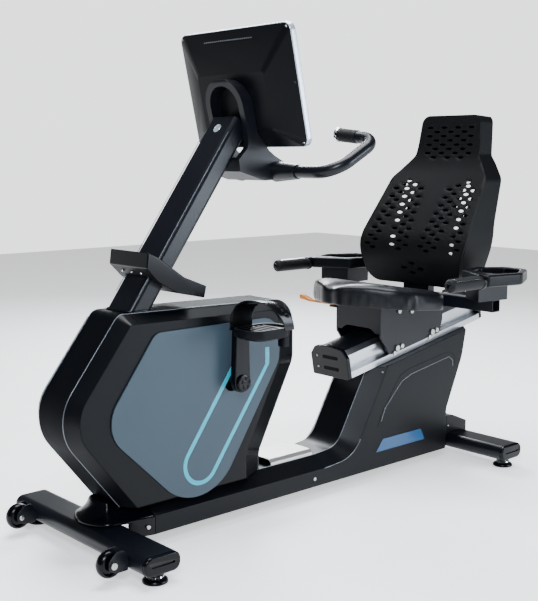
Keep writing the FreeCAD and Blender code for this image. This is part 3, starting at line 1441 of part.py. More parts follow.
fasteners = []
for number, sign in enumerate((-1, 1)):
    bolt_start = sign * cell("wheel_spread") - (cell("wheel_width") / 2 + cell("fork_gap") + cell("fork_wall"))
    shank_length = cell("wheel_width") + 2 * cell("fork_gap") + 2 * cell("fork_wall")
    shank = cylinder(f"wheel_bolt_{number}", "Sizes.axle_bolt_radius", f"{shank_length}",
                     Vector(cell("wheel_station"), bolt_start, cell("wheel_height")), across_y)
    head_y = bolt_start if sign < 0 else bolt_start + shank_length
    head = cylinder(f"wheel_bolt_head_{number}", "8", "5",
                    Vector(cell("wheel_station"), head_y, cell("wheel_height")), across_y * sign)
    fasteners.append(fuse(f"wheel_bolt_whole_{number}", shank, head))
    for station in (0, wheelbase):
        hexagon = doc.addObject("Part::Prism", f"foot_nut_{number}_{station}")
        hexagon.Polygon = 6
        hexagon.Circumradius = 11
        hexagon.Height = 6
        hexagon.Placement = Placement(Vector(station, sign * spread, tube_bottom - 6), Rotation())
        stem = cylinder(f"nut_thread_{number}_{station}", f"{stem_hole}", "8",
                        Vector(station, sign * spread, tube_bottom - 7), up_z)
        fasteners.append(cut(f"foot_nut_threaded_{number}_{station}", hexagon, stem))
    for spot, x in enumerate((98, 660)):
        fasteners.append(cylinder(f"cover_screw_{number}_{spot}", "5", "1.5",
                                  Vector(x, sign * cell("cover_half_width"), 58), across_y * sign))
node("fasteners", *fasteners)

# ---- checks and files ------------------------------------------------------------------

doc.recompute()
failed = [item.Name for item in doc.Objects if "Invalid" in item.State or "Error" in item.State]
for item in nodes:
    if item.Shape.isNull() or not item.Shape.isValid() or not item.Shape.Solids:
        failed.append(item.Label)
if failed:
    raise RuntimeError("failed: " + ", ".join(failed))

os.makedirs("parts", exist_ok=True)
for item in nodes:
    item.Shape.exportStep(f"parts/{item.Label}.step")
    print(f"{item.Label:24s} {len(item.Shape.Solids):3d} solids {item.Shape.Volume / 1000:9.1f} cm3")
print(len(nodes), "sub-parts, middle", round(cell("middle"), 3))
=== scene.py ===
import json
import math

import bpy
from mathutils import Matrix, Vector

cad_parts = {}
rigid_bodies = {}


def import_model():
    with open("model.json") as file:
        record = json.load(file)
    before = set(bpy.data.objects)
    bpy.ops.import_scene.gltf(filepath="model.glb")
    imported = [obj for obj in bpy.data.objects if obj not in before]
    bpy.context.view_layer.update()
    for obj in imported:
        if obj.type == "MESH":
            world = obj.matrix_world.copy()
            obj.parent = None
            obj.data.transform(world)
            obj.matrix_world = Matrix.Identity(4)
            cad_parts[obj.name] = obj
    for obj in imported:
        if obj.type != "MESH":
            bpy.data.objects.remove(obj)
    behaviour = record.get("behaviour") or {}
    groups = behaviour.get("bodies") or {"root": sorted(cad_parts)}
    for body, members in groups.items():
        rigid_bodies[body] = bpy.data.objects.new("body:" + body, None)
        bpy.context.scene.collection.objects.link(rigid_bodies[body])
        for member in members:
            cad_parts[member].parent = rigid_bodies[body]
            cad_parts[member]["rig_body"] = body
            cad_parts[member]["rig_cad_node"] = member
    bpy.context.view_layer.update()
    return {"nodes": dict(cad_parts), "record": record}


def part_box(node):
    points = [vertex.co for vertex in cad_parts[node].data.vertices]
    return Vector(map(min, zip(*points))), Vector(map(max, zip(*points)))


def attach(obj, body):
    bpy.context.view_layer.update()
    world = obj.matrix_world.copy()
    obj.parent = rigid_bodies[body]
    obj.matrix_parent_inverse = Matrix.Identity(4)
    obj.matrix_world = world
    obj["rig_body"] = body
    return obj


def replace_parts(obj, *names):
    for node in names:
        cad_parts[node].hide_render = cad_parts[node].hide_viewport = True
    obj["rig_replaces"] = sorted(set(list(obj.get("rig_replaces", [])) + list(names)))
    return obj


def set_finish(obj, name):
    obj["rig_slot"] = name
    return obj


# Recumbent exercise bike. Sizes are in millimetres, counted from the front feet along X,
# and the at() function brings them to the frame's metres.

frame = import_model()
footLow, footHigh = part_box("front_foot_left")
feetX = (footLow.x + footHigh.x) / 2


def at(x, y, z):
    return Vector((x / 1000 + feetX, y / 1000, z / 1000))


rail = {"tilt": 10.5, "x": 832, "z": 314}
mast = {"tilt": 35.66, "x": 117, "z": 578, "halfDeep": 27.5, "halfWide": 50, "round": 13,
        "collarGrow": 1.06, "disc": 520, "lineFrom": 32, "lineTo": 510}
console = {"tilt": 12.6, "x": 478, "z": 1118}
sides = ((-1, "left"), (1, "right"))
upward = Vector((0, 0, 1))
backward = Vector((1, 0, 0))
railTilt = math.radians(rail["tilt"])
railAlong = Vector((math.cos(railTilt), 0, math.sin(railTilt)))
railUp = Vector((-math.sin(railTilt), 0, math.cos(railTilt)))
mastTilt = math.radians(mast["tilt"])
mastAlong = Vector((math.sin(mastTilt), 0, math.cos(mastTilt)))
mastBack = Vector((math.cos(mastTilt), 0, -math.sin(mastTilt)))
consoleTilt = math.radians(console["tilt"])
consoleOut = Vector((math.cos(consoleTilt), 0, math.sin(consoleTilt)))
consoleUp = Vector((-math.sin(consoleTilt), 0, math.cos(consoleTilt)))


def onRail(along, across, up):
    return at(rail["x"], across, rail["z"]) + railAlong * (along / 1000) + railUp * (up / 1000)


def onMast(along, across, back):
    return at(mast["x"], across, mast["z"]) + mastAlong * (along / 1000) + mastBack * (back / 1000)


def onConsole(out, across, up):
    return at(console["x"], across, console["z"]) + consoleOut * (out / 1000) + consoleUp * (up / 1000)


def clamp(value, low=0, high=1):
    return min(max(value, low), high)


def outwards(sign):
    # straight out of the left or the right side
    return Vector((0, sign, 0))


# materials

def linear(hexColour):
    parts = [int(hexColour[i:i + 2], 16) / 255 for i in (1, 3, 5)]
    return [p / 12.92 if p <= 0.04045 else ((p + 0.055) / 1.055) ** 2.4 for p in parts] + [1]


def addNode(tree, kind, settings=None, links=None):
    node = tree.nodes.new(kind)
    for key, value in (settings or {}).items():
        if isinstance(key, str) and hasattr(node, key):
            setattr(node, key, value)
        else:
            node.inputs[key].default_value = value
    for socket, source in (links or {}).items():
        tree.links.new(source, node.inputs[socket])
    return node


def makeMaterial(name, look):
    mat = bpy.data.materials.new(name)
    mat.use_nodes = True
    tree = mat.node_tree
    shader = tree.nodes["Principled BSDF"]
    coords = addNode(tree, "ShaderNodeTexCoord").outputs["Object"]
    if "stretch" in look:
        mapping = {"Scale": look["stretch"], "Rotation": look.get("turn", (0, 0, 0))}
        coords = addNode(tree, "ShaderNodeMapping", mapping, {"Vector": coords}).outputs["Vector"]
    shader.inputs["Specular IOR Level"].default_value = look.get("specular", 0.5)
    shader.inputs["Metallic"].default_value = look.get("metal", 0)
    for socket, value in look.get("shader", {}).items():
        shader.inputs[socket].default_value = value
    # colour drifts a little over the surface
    place = {"Vector": coords}
    drift = addNode(tree, "ShaderNodeTexNoise", {"Scale": 9, "Detail": 3}, place).outputs["Fac"]
    blend = addNode(tree, "ShaderNodeMix", {"data_type": "RGBA"}, {"Factor": drift})
    blend.inputs[6].default_value, blend.inputs[7].default_value = [linear(c) for c in look["colours"]]
    # grain: fine pattern for bump and roughness
    scale = 1000 / look["grain"]
    if look.get("pattern") == "cells":
        height = addNode(tree, "ShaderNodeTexVoronoi", {"Scale": scale}, place).outputs["Distance"]
    else:
        height = addNode(tree, "ShaderNodeTexNoise", {"Scale": scale, "Detail": 2}, place).outputs["Fac"]
    rough = addNode(tree, "ShaderNodeMapRange", {"To Min": look["rough"][0], "To Max": look["rough"][1]},
                    {"Value": drift})
    if "ripple" in look:
        wide = addNode(tree, "ShaderNodeTexNoise", {"Scale": 1000 / look["ripple"], "Detail": 1}, place)
        both = addNode(tree, "ShaderNodeMath", {"operation": "ADD"}, {0: height, 1: wide.outputs["Fac"]})
        height = both.outputs["Value"]
    depth = {"Strength": look["bump"], "Distance": look.get("bumpDepth", 0.0002)}
    bump = addNode(tree, "ShaderNodeBump", depth, {"Height": height})
    tree.links.new(blend.outputs[2], shader.inputs["Base Color"])
    tree.links.new(rough.outputs["Result"], shader.inputs["Roughness"])
    tree.links.new(bump.outputs["Normal"], shader.inputs["Normal"])
    return mat


looks = {
    # injection moulded ABS, spark-eroded texture: deep black with a soft sheen
    "mouldedAbs": {"colours": ("#040508", "#06080c"), "rough": (0.32, 0.42), "grain": 0.7,
                   "bump": 0.10, "specular": 0.13},
    # injection moulded ABS of the centre band, a coarser texture
    "coarseAbs": {"colours": ("#040508", "#06080c"), "rough": (0.50, 0.60), "grain": 1.0,
                  "bump": 0.14, "specular": 0.03},
    # painted ABS side panel, slate with a fine satin lacquer
    "slateAbs": {"colours": ("#2e3c46", "#33424d"), "rough": (0.34, 0.42), "grain": 0.9, "bump": 0.06,
                 "specular": 0.25},
    # cast acrylic light pipe, lit from behind
    "cyanAcrylic": {"colours": ("#007c92", "#00869c"), "rough": (0.22, 0.3), "grain": 2, "bump": 0.02,
                    "shader": {"Emission Color": linear("#00b8cc"), "Emission Strength": 0.32}},
    # tinted polycarbonate lens
    "tintedLens": {"colours": ("#20486e", "#274f77"), "rough": (0.16, 0.24), "grain": 3, "bump": 0.03,
                   "specular": 0.35},
    # powder-coated steel with the slight orange peel of a baked coat
    "powderCoat": {"colours": ("#07090f", "#0a0d14"), "rough": (0.28, 0.38), "grain": 0.6,
                   "ripple": 3.5, "bump": 0.14,
                   "shader": {"Specular IOR Level": 0.22, "Coat Weight": 0.04, "Coat Roughness": 0.2}},
    # polished ABS
    "glossAbs": {"colours": ("#020306", "#040509"), "rough": (0.16, 0.24), "grain": 4, "bump": 0.03,
                 "specular": 0.16},
    # satin ABS of the yoke, smoother than the covers
    "satinAbs": {"colours": ("#080a0f", "#0b0e14"), "rough": (0.32, 0.40), "grain": 0.9, "bump": 0.05,
                 "specular": 0.30},
    # extruded aluminium, anodised satin: die lines run along the rail
    "anodisedAluminium": {"colours": ("#b9bbc0", "#c6c8cc"), "rough": (0.24, 0.36), "grain": 1.2,
                          "bump": 0.12, "stretch": (0.03, 1, 1), "turn": (0, railTilt, 0), "metal": 1.0},
    # brushed aluminium sheet, brushed across the step
    "brushedAluminium": {"colours": ("#bdbab8", "#cac7c4"), "rough": (0.30, 0.42), "grain": 0.9,
                         "bump": 0.16,
                         "stretch": (1, 0.04, 1), "metal": 0.9},
    # black anodised strip on top of the rail
    "darkAnodised": {"colours": ("#1c2027", "#232830"), "rough": (0.26, 0.36), "grain": 1.2, "bump": 0.1,
                     "stretch": (0.03, 1, 1), "turn": (0, railTilt, 0), "metal": 0.7},
    # zinc-plated steel bolts
    "zincSteel": {"colours": ("#a4a4a2", "#b4b3af"), "rough": (0.22, 0.36), "grain": 1.0, "bump": 0.1,
                  "metal": 1.0},
    # turned steel
    "turnedSteel": {"colours": ("#8b8d90", "#999b9d"), "rough": (0.2, 0.32), "grain": 0.5,
                    "bump": 0.08, "metal": 1.0},
    # grey cast iron
    "castIron": {"colours": ("#2a2a2c", "#353537"), "rough": (0.5, 0.65), "grain": 1.5, "bump": 0.3,
                 "metal": 0.8},
    # PVC leatherette with a pebbled grain and broad soft creases
    "leatherette": {"colours": ("#06070b", "#090b10"), "rough": (0.30, 0.42), "pattern": "cells",
                    "grain": 1.6, "ripple": 22, "bump": 0.16, "bumpDepth": 0.0004,
                    "shader": {"Specular IOR Level": 0.2, "Coat Weight": 0.05, "Coat Roughness": 0.3}},
    # reaction-moulded back panel with a fine matt texture
    "mattPanel": {"colours": ("#040507", "#07080a"), "rough": (0.44, 0.54), "grain": 0.8, "bump": 0.2,
                  "specular": 0.12},
    # natural rubber, matt with a bloom
    "rubber": {"colours": ("#060608", "#0a0a0c"), "rough": (0.55, 0.7), "grain": 0.9, "bump": 0.25,
               "specular": 0.2},
    # silver lacquered ABS bezel
    "silverLacquer": {"colours": ("#b3bcc8", "#bcc5d0"), "rough": (0.24, 0.32), "grain": 0.6,
                      "bump": 0.05, "metal": 0.55},
    # pigmented amber ABS lever
    "amberAbs": {"colours": ("#b06400", "#b86c02"), "rough": (0.2, 0.3), "grain": 3, "bump": 0.04},
    # birch plywood board stained black, its veneer grain showing
    "plywood": {"colours": ("#14110e", "#1c1813"), "rough": (0.5, 0.65), "grain": 1.5, "bump": 0.25,
                "stretch": (0.1, 1, 1)},
    # dark display glass
    "displayGlass": {"colours": ("#020305", "#040508"), "rough": (0.06, 0.1), "grain": 5, "bump": 0.01},
    # painted highlight: a light grey metallic line that stands for the glint of the soft boxes along the
    # rounded edges of the mouldings
    "paintedEdgeHighlight": {"colours": ("#5c6167", "#70757b"), "rough": (0.24, 0.34), "grain": 0.8,
                  "bump": 0.05, "metal": 0.6},
    # painted shade: a near-black matt line for the shadow in the open joint between two mouldings
    "seamShadow": {"colours": ("#010102", "#020203"), "rough": (0.7, 0.8), "grain": 0.8, "bump": 0.05,
                   "specular": 0.1},
    # glass-filled nylon, satin
    "satinNylon": {"colours": ("#050609", "#080a0e"), "rough": (0.42, 0.52), "grain": 0.9,
                   "bump": 0.1, "specular": 0.10},
    # polished flexible strap
    "glossStrap": {"colours": ("#040507", "#07080a"), "rough": (0.16, 0.26), "grain": 1.5,
                   "bump": 0.05, "specular": 0.22},
    # bright chrome ring
    "chromePlate": {"colours": ("#c8cacd", "#d2d4d6"), "rough": (0.06, 0.12), "grain": 3,
                    "bump": 0.02, "metal": 1.0},
}
mats = {name: makeMaterial(name, look) for name, look in looks.items()}
print("materials made")


# modelling helpers

def objectMode():
    bpy.ops.object.mode_set(mode="OBJECT")


def editMode():
    bpy.ops.object.mode_set(mode="EDIT")


def selectMesh():
    # into edit mode with the whole mesh selected
    editMode()
    bpy.ops.mesh.select_all(action="SELECT")


def faceOut():
    selectMesh()
    bpy.ops.mesh.normals_make_consistent(inside=False)
    objectMode()


def shadeUpTo(angle):
    bpy.ops.object.shade_smooth_by_angle(angle=math.radians(angle))


def deselectAll():
    bpy.ops.object.select_all(action="DESELECT")


def pick(obj):
    if bpy.context.object and bpy.context.object.mode != "OBJECT":
        objectMode()
    deselectAll()
    obj.select_set(True)
    bpy.context.view_layer.objects.active = obj


def addModifier(obj, kind, **settings):
    modifier = obj.modifiers.new(kind.lower(), kind)
    for setting, value in settings.items():
        setattr(modifier, setting, value)
    return modifier


def applyAll(obj):
    pick(obj)
    for modifier in list(obj.modifiers):
        bpy.ops.object.modifier_apply(modifier=modifier.name)


def soften(obj, width, segments=2, angle=30, smooth=35):
    # rounds the edges by width millimetres and shades the result
    pick(obj)
    addModifier(obj, "BEVEL", width=width / 1000, segments=segments, limit_method="ANGLE",
                angle_limit=math.radians(angle), miter_outer="MITER_ARC")
    applyAll(obj)
    shadeUpTo(smooth)
    return obj


def finishPiece(obj, name, material, body, slot, replaced=()):
    obj.name = name
    obj.data.name = name
    obj.data.materials.clear()
    obj.data.materials.append(mats[material])
    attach(obj, body)
    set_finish(obj, slot)
    if replaced:
        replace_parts(obj, *replaced)
    return obj


def ownCopy(obj):
    pick(obj)
    bpy.ops.object.duplicate(linked=False)
    twin = bpy.context.object
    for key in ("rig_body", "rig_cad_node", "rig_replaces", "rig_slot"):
        if key in twin:
            del twin[key]
    twin.parent = None
    twin.matrix_world = Matrix.Identity(4)
    return twin


def otherSide(obj):
    # the same piece on the far side of the centre plane, with its faces turned out again
    twin = ownCopy(obj)
    twin.data.transform(Matrix.Scale(-1, 4, (0, 1, 0)))
    selectMesh()
    bpy.ops.mesh.flip_normals()
    objectMode()
    return twin


def refineNode(node, width, material):
    # a merged copy of a CAD part with its sharp edges rounded, the broad ones more finely
    slot = [s["material_slot"] for s in frame["record"]["subparts"] if s["node"] == node][0]
    source = frame["nodes"][node]
    body = source["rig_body"]
    piece = ownCopy(source)
    selectMesh()
    bpy.ops.mesh.remove_doubles(threshold=0.00002)
    bpy.ops.mesh.dissolve_limited(angle_limit=math.radians(0.6))
    objectMode()
    soften(piece, width, 4 if width > 3 else 2)
    # broad flat faces keep their own direction beside the rounded edges
    addModifier(piece, "WEIGHTED_NORMAL", keep_sharp=True)
    applyAll(piece)
    return finishPiece(piece, node + "_finished", material, body, slot, [node])


def roundedOutline(corners, steps=6):
    points = []
    count = len(corners)
    for i, corner in enumerate(corners):
        here = Vector(corner[:2])
        radius = corner[2] if len(corner) > 2 else 0
        if radius <= 0:
            points.append(here)
            continue
        back = (Vector(corners[i - 1][:2]) - here).normalized()
        ahead = (Vector(corners[(i + 1) % count][:2]) - here).normalized()
        half = back.angle(ahead) / 2
        reach = radius / math.tan(half)
        centre = here + (back + ahead).normalized() * (radius / math.sin(half))
        first = here + back * reach - centre
        last = here + ahead * reach - centre
        total = first.angle_signed(last)
        for k in range(steps + 1):
            turned = first.copy()
            turned.rotate(Matrix.Rotation(-total * k / steps, 2))
            points.append(centre + turned)
    return points


def plate(corners, place, depth, steps=6):
    # an outline filled and extruded; place(u, v, w) says where a point of it goes
    points = roundedOutline(corners, steps)
    deselectAll()
    bpy.ops.mesh.primitive_circle_add(vertices=len(points), fill_type="NGON")
    obj = bpy.context.object
    for vertex, point in zip(obj.data.vertices, points):
        vertex.co = place(point[0], point[1], 0)
    step = place(0, 0, depth) - place(0, 0, 0)
    selectMesh()
    bpy.ops.mesh.extrude_region_move(TRANSFORM_OT_translate={"value": step})
    faceOut()
    return obj


def sidePlate(corners, y, depth, steps=6):
    return plate(corners, lambda u, v, w: at(u, y + w, v), depth, steps)


def topPlate(corners, z, depth, steps=6):
    return plate(corners, lambda u, v, w: at(u, v, z + w), depth, steps)


def stand(obj, centre, axis):
    # turns a mesh made along Z onto the axis and moves it to the centre
    turn = axis.to_track_quat("Z", "Y").to_matrix().to_4x4()
    obj.data.transform(Matrix.Translation(centre) @ turn)


def disc(centre, axis, radius, depth, vertices=32):
    deselectAll()
    bpy.ops.mesh.primitive_cylinder_add(vertices=vertices, radius=radius / 1000, depth=depth / 1000)
    obj = bpy.context.object
    stand(obj, centre + axis.normalized() * (depth / 2000), axis)
    return obj


def lathe(profile, centre, axis, steps=40):
    # profile is (radius, distance along the axis), spun about the axis
    deselectAll()
    bpy.ops.mesh.primitive_circle_add(vertices=max(3, len(profile)), fill_type="NOTHING")
    obj = bpy.context.object
    selectMesh()
    bpy.ops.mesh.delete(type="EDGE_FACE")
    objectMode()
    for vertex, (radius, along) in zip(obj.data.vertices, profile):
        vertex.co = Vector((radius / 1000, 0, along / 1000))
    obj.data.edges.add(len(profile) - 1)
    for i in range(len(profile) - 1):
        obj.data.edges[i].vertices = (i, i + 1)
    selectMesh()
    bpy.ops.mesh.spin(steps=steps, angle=math.tau, center=(0, 0, 0), axis=(0, 0, 1))
    bpy.ops.mesh.select_all(action="SELECT")
    bpy.ops.mesh.remove_doubles(threshold=0.00002)
    bpy.ops.mesh.normals_make_consistent(inside=False)
    objectMode()
    stand(obj, centre, axis)
    pick(obj)
    shadeUpTo(40)
    return obj


def join(objs):
    pick(objs[0])
    for obj in objs:
        obj.select_set(True)
    bpy.ops.object.join()
    return bpy.context.object


def subtract(obj, tool):
    pick(obj)
    addModifier(obj, "BOOLEAN", operation="DIFFERENCE", object=tool, solver="EXACT")
    applyAll(obj)
    bpy.data.objects.remove(tool)


def cableLine(points, radius, name):
    # thin round bead along a line, as a mesh
    curve = bpy.data.curves.new(name, "CURVE")
    curve.dimensions = "3D"
    curve.bevel_depth = radius / 1000
    curve.bevel_resolution = 2
    spline = curve.splines.new("POLY")
    spline.points.add(len(points) - 1)
    for point, place in zip(spline.points, points):
        point.co = (*place, 1)
    curve.use_fill_caps = True
    obj = bpy.data.objects.new(name, curve)
    bpy.context.scene.collection.objects.link(obj)
    pick(obj)
    bpy.ops.object.convert(target="MESH")
    bpy.ops.object.shade_smooth()
    return bpy.context.object


# CAD parts that keep their shape and get rounded edges

refined = {
    "front_stabilizer": (1.2, "powderCoat"), "rear_stabilizer": (1.2, "powderCoat"),
    "stabilizer_end_caps": (5.0, "glossAbs"), "main_frame": (1.0, "powderCoat"),
    "shroud_right_shell": (2.2, "mouldedAbs"), "shroud_left_shell": (2.2, "mouldedAbs"),
    "shroud_center_band": (2.0, "coarseAbs"), "right_side_cover": (2.5, "mouldedAbs"),
    "left_side_cover": (2.5, "mouldedAbs"), "center_cover": (1.5, "mouldedAbs"),
    "step_plate": (1.5, "brushedAluminium"), "rear_foot_cover": (2.5, "mouldedAbs"),
    "side_panels": (1.2, "slateAbs"), "light_strips": (0.8, "cyanAcrylic"),
    "side_lenses": (0.7, "tintedLens"), "mast": (1.4, "powderCoat"), "accessory_tray": (2.5, "glossAbs"),
    "console_yoke": (5.0, "satinAbs"), "handlebar": (0.6, "powderCoat"), "handlebar_sleeves": (0.6, "rubber"),
    "console_bezel": (3.0, "silverLacquer"), "console_screen": (0.5, "displayGlass"),
    "console_back_shell": (3.0, "mouldedAbs"), "seat_rail": (0.8, "anodisedAluminium"),
    "rail_top_cover": (0.4, "darkAnodised"), "rail_end_caps": (2.0, "glossAbs"),
    "seat_carriage": (1.2, "powderCoat"), "carriage_bolts": (0.8, "zincSteel"),
    "adjust_lever": (2.0, "amberAbs"), "seat_board": (1.5, "plywood"), "backrest_frame": (2.5, "mattPanel"),
    "armrest_frame": (1.5, "powderCoat"), "armrest_trays": (6.5, "mouldedAbs"), "seat_grips": (0.8, "rubber"),
    "pulse_contacts": (0.3, "turnedSteel"), "fasteners": (0.6, "zincSteel"), "crank_arms": (2.5, "glossAbs"),
}
for node, (width, material) in refined.items():
    refineNode(node, width, material)
# the undersides of the yoke and the tray are matt
for name, steepest in (("console_yoke_finished", -0.9), ("accessory_tray_finished", -0.6)):
    moulding = bpy.data.objects[name]
    moulding.data.materials.append(mats["mattPanel"])
    for face in moulding.data.polygons:
        if face.normal.z < steepest:
            face.material_index = 1
# the crank arms are broad at the axle and slim at the pedal
crank = {"x": 364, "z": 382, "bossScale": 1.2, "tipScale": 0.94, "reach": 0.15, "capOut": 138.5, "cap": 21,
         "recesses": 5, "recess": 4.4, "recessCircle": 12, "recessOut": 142, "recessTurn": 0.3}
axle = at(crank["x"], 0, crank["z"])
for vertex in bpy.data.objects["crank_arms_finished"].data.vertices:
    side = 1 if vertex.co.y < 0 else -1
    offset = vertex.co - axle
    share = clamp(offset.z * side / crank["reach"])
    scale = crank["bossScale"] + (crank["tipScale"] - crank["bossScale"]) * share
    vertex.co.x = axle.x + offset.x * scale
    if offset.z * side < 0:
        vertex.co.z = axle.z + offset.z * crank["bossScale"]
# the free end of the seat lever thickens and turns up beside the cushion
lever = bpy.data.objects["adjust_lever_finished"]
leverTip = {"from": 206, "to": 240, "topRise": 11, "underRise": 5, "middle": 502.3}
for cutAt in (leverTip["from"], 0.5 * (leverTip["from"] + leverTip["to"])):
    pick(lever)
    selectMesh()
    bpy.ops.mesh.bisect(plane_co=(0, cutAt / 1000, 0), plane_no=(0, 1, 0))
    objectMode()
for vertex in lever.data.vertices:
    share = clamp((vertex.co.y * 1000 - leverTip["from"]) / (leverTip["to"] - leverTip["from"]))
    rise = leverTip["topRise"] if vertex.co.z * 1000 > leverTip["middle"] else leverTip["underRise"]
    vertex.co.z += share * rise / 1000
plain = {
    "crank_axle": "turnedSteel", "crank_bearings": "turnedSteel", "drive_pulley": "mouldedAbs",
    "small_pulley": "turnedSteel", "flywheel": "castIron", "drive_belt": "rubber",
    "pedal_spindles": "turnedSteel", "front_rollers": "mattPanel", "rear_rollers": "mattPanel",
    "brake_shoe": "rubber",
}
for node, material in plain.items():
    materials = frame["nodes"][node].data.materials
    materials.clear()
    materials.append(mats[material])
print("frame parts finished")


# painted highlight lines along the edges and creases of the covers and painted shade lines along their seams

def insetOutline(corners, amounts):
    # moves each side of an outline inward; side i runs from corner i to the next one
    count = len(corners)
    spots = [Vector(c[:2]) for c in corners]
    area = sum(spots[i].cross(spots[(i + 1) % count]) for i in range(count))
    turn = 1 if area > 0 else -1
    if not isinstance(amounts, (list, tuple)):
        amounts = [amounts] * count
    result = []
    for i in range(count):
        before, here, after = spots[i - 1], spots[i], spots[(i + 1) % count]
        dirIn = (here - before).normalized()
        dirOut = (after - here).normalized()
        normIn = Vector((-dirIn.y, dirIn.x)) * turn
        normOut = Vector((-dirOut.y, dirOut.x)) * turn
        startIn = before + normIn * amounts[i - 1]
        startOut = here + normOut * amounts[i]
        cross = dirIn.cross(dirOut)
        along = (startOut - startIn).cross(dirOut) / cross if abs(cross) > 0.001 else (here - before).length
        spot = startIn + dirIn * along
        radius = corners[i][2] if len(corners[i]) > 2 else 0
        shift = (amounts[i - 1] + amounts[i]) / 2
        if radius:
            radius = max(radius - shift, 2) if cross * turn > 0 else radius + shift
        result.append((spot.x, spot.y, radius))
    return result


def bead(places, radius, name, material, slot="cover_plastic"):
    finishPiece(cableLine(places, radius, name), name, material, "base", slot)


def sideLine(points, y, radius, name, material, closed=True):
    places = [at(p[0], y, p[1]) for p in points]
    bead(places + places[:1] if closed else places, radius, name, material)


covers = {
    "shroud": [(42, 112.5), (445, 112.5), (445, 160, 20), (570, 400, 60), (570, 567, 70), (50, 578, 30),
               (-136, 337, 115)],
    "shroudBevels": [0, 32, 38, 42, 21, 21, 21],
    "column": [(118, 35), (1258, 35), (1258, 138, 15), (1345, 330, 120), (1362, 411.8), (909, 327.9),
               (788, 120, 70), (700, 112, 60), (118, 112)],
    "columnBevels": [0, 22, 30, 34, 0, 39, 31, 31, 0],
    "bandHalf": 54.2, "shroudHalf": 93.1, "coverHalf": 97.1,
    "borderInner": [(932, 175), (948, 212), (1020, 282, 50), (1066, 299, 30), (1242, 328, 8), (1262, 314, 8),
                    (1262, 296)],
    "borderOuter": [(916, 160), (932, 196), (1010, 300, 50), (1054, 316, 30), (1238, 344, 12), (1270, 330, 12),
                    (1273, 300)],
    "shoulder": [(79, 54.6, 577), (83, 75, 566.5), (88, 93.3, 556)],
}
# the rear wall of the shroud stands further out behind the side panels
rearWall = {"out": 42, "depth": 22, "roundFrom": 499, "lowFrom": 420, "lowTo": 300}
shroudEdge = roundedOutline(covers["shroud"], 10)
for name in ("shroud_right_shell", "shroud_left_shell", "shroud_center_band"):
    for vertex in bpy.data.objects[name + "_finished"].data.vertices:
        spot = Vector(((vertex.co.x - feetX) * 1000, vertex.co.z * 1000))
        nearest = None
        for first, second in zip(shroudEdge, shroudEdge[1:] + shroudEdge[:1]):
            along = second - first
            share = clamp((spot - first).dot(along) / max(along.length_squared, 0.001))
            foot = first + along * share
            if nearest is None or (spot - foot).length < (spot - nearest).length:
                nearest = foot
        curved = nearest.x > rearWall["roundFrom"]
        straight = nearest.x > rearWall["lowFrom"] and nearest.y < rearWall["lowTo"]
        if (curved or straight) and (spot - nearest).length < rearWall["depth"]:
            vertex.co.x += rearWall["out"] / 1000
covers["shroud"] = [(c[0] + rearWall["out"], *c[1:]) if c[0] > rearWall["lowFrom"] else c
                    for c in covers["shroud"]]
shroudEdge = roundedOutline(covers["shroud"], 10)
shroudFace = roundedOutline(insetOutline(covers["shroud"], covers["shroudBevels"]), 10)
columnEdge = roundedOutline(covers["column"], 10)
columnFace = roundedOutline(insetOutline(covers["column"], covers["columnBevels"]), 10)
for sign, side in sides:
    # the light lines are painted highlights on the rounded edges and creases, the dark ones painted shade in
    # the seams
    sideLine(shroudEdge, sign * covers["bandHalf"], 1.1, side + "_shroud_edge_highlight", "paintedEdgeHighlight")
    sideLine(shroudFace, sign * covers["shroudHalf"], 0.8, side + "_shroud_seam_shade", "seamShadow")
    sideLine([p for p in columnEdge if p[1] > 111 and p[0] < 925], sign * covers["bandHalf"], 1.0,
             side + "_column_edge_highlight", "paintedEdgeHighlight", False)
    sideLine([p for p in columnFace if p[1] > 79 and 118 < p[0] < 905], sign * covers["coverHalf"], 0.9,
             side + "_column_crease_highlight", "paintedEdgeHighlight", False)
    # raised border of the rear side panel, drawn as an inner painted highlight line and an outer painted shade
    # line
    sideLine(roundedOutline(covers["borderInner"]), sign * covers["coverHalf"], 1.1,
             side + "_panel_border_highlight", "paintedEdgeHighlight", False)
    sideLine(roundedOutline(covers["borderOuter"]), sign * (covers["coverHalf"] - 0.4), 0.8,
             side + "_panel_border_shade", "seamShadow", False)
    # a painted shade line along a seam across the shoulder of the shroud
    seam = [at(x, sign * y, z) for x, y, z in covers["shoulder"]]
    bead(seam, 0.7, side + "_shoulder_seam_shade", "seamShadow")
print("seams laid")


# backrest shell with its rows of slots

backrest = {
    "profile": [(1184, 552), (1157, 663), (1335, 942), (1350, 1074)],
    "half": [(112, 1074, 30), (125, 948, 25), (186, 878, 40), (212, 690, 200), (178, 552, 60)],
    "thickness": 6, "dish": 16, "cell": 12,
    "slotLength": 24, "slotHeight": 8.6,
    "headRows": 8, "headTop": 1036, "headPitch": 13.4, "headSpacing": 54,
    "bandColumns": [(50, 844, 8), (78, 856, 9), (106, 868, 9), (134, 856, 9), (158, 843, 8)],
    "bandPitch": 24.6, "bandDrift": 0.16, "lowSlots": [(0, 618), (-34, 602), (34, 602), (0, 588)],
    "bottom": 552, "top": 1074, "halfWide": 212, "dishWidth": 205, "frontOffset": 3, "average": 11,
}


def backFront(z):
    # front surface of the shell at the centre plane, its corners rounded by averaging
    spots = backrest["profile"]
    total = 0
    for step in range(-4, 5):
        height = clamp(z + step * backrest["average"], spots[0][1], spots[-1][1])
        for low, high in zip(spots, spots[1:]):
            if low[1] <= height <= high[1]:
                total += low[0] + (high[0] - low[0]) * (height - low[1]) / (high[1] - low[1])
                break
    return total / 9


def backDish(y):
    return -backrest["dish"] * (y / backrest["dishWidth"]) ** 2 + backrest["frontOffset"]


def slotOutline(y, z, length, height):
    # a pointed ellipse
    points = []
    for k in range(16):
        angle = math.tau * k / 16
        across = math.cos(angle)
        rise = math.sin(angle) * abs(math.sin(angle)) ** 0.25
        points.append((y + across * length / 2, z + rise * height / 2))
    return points


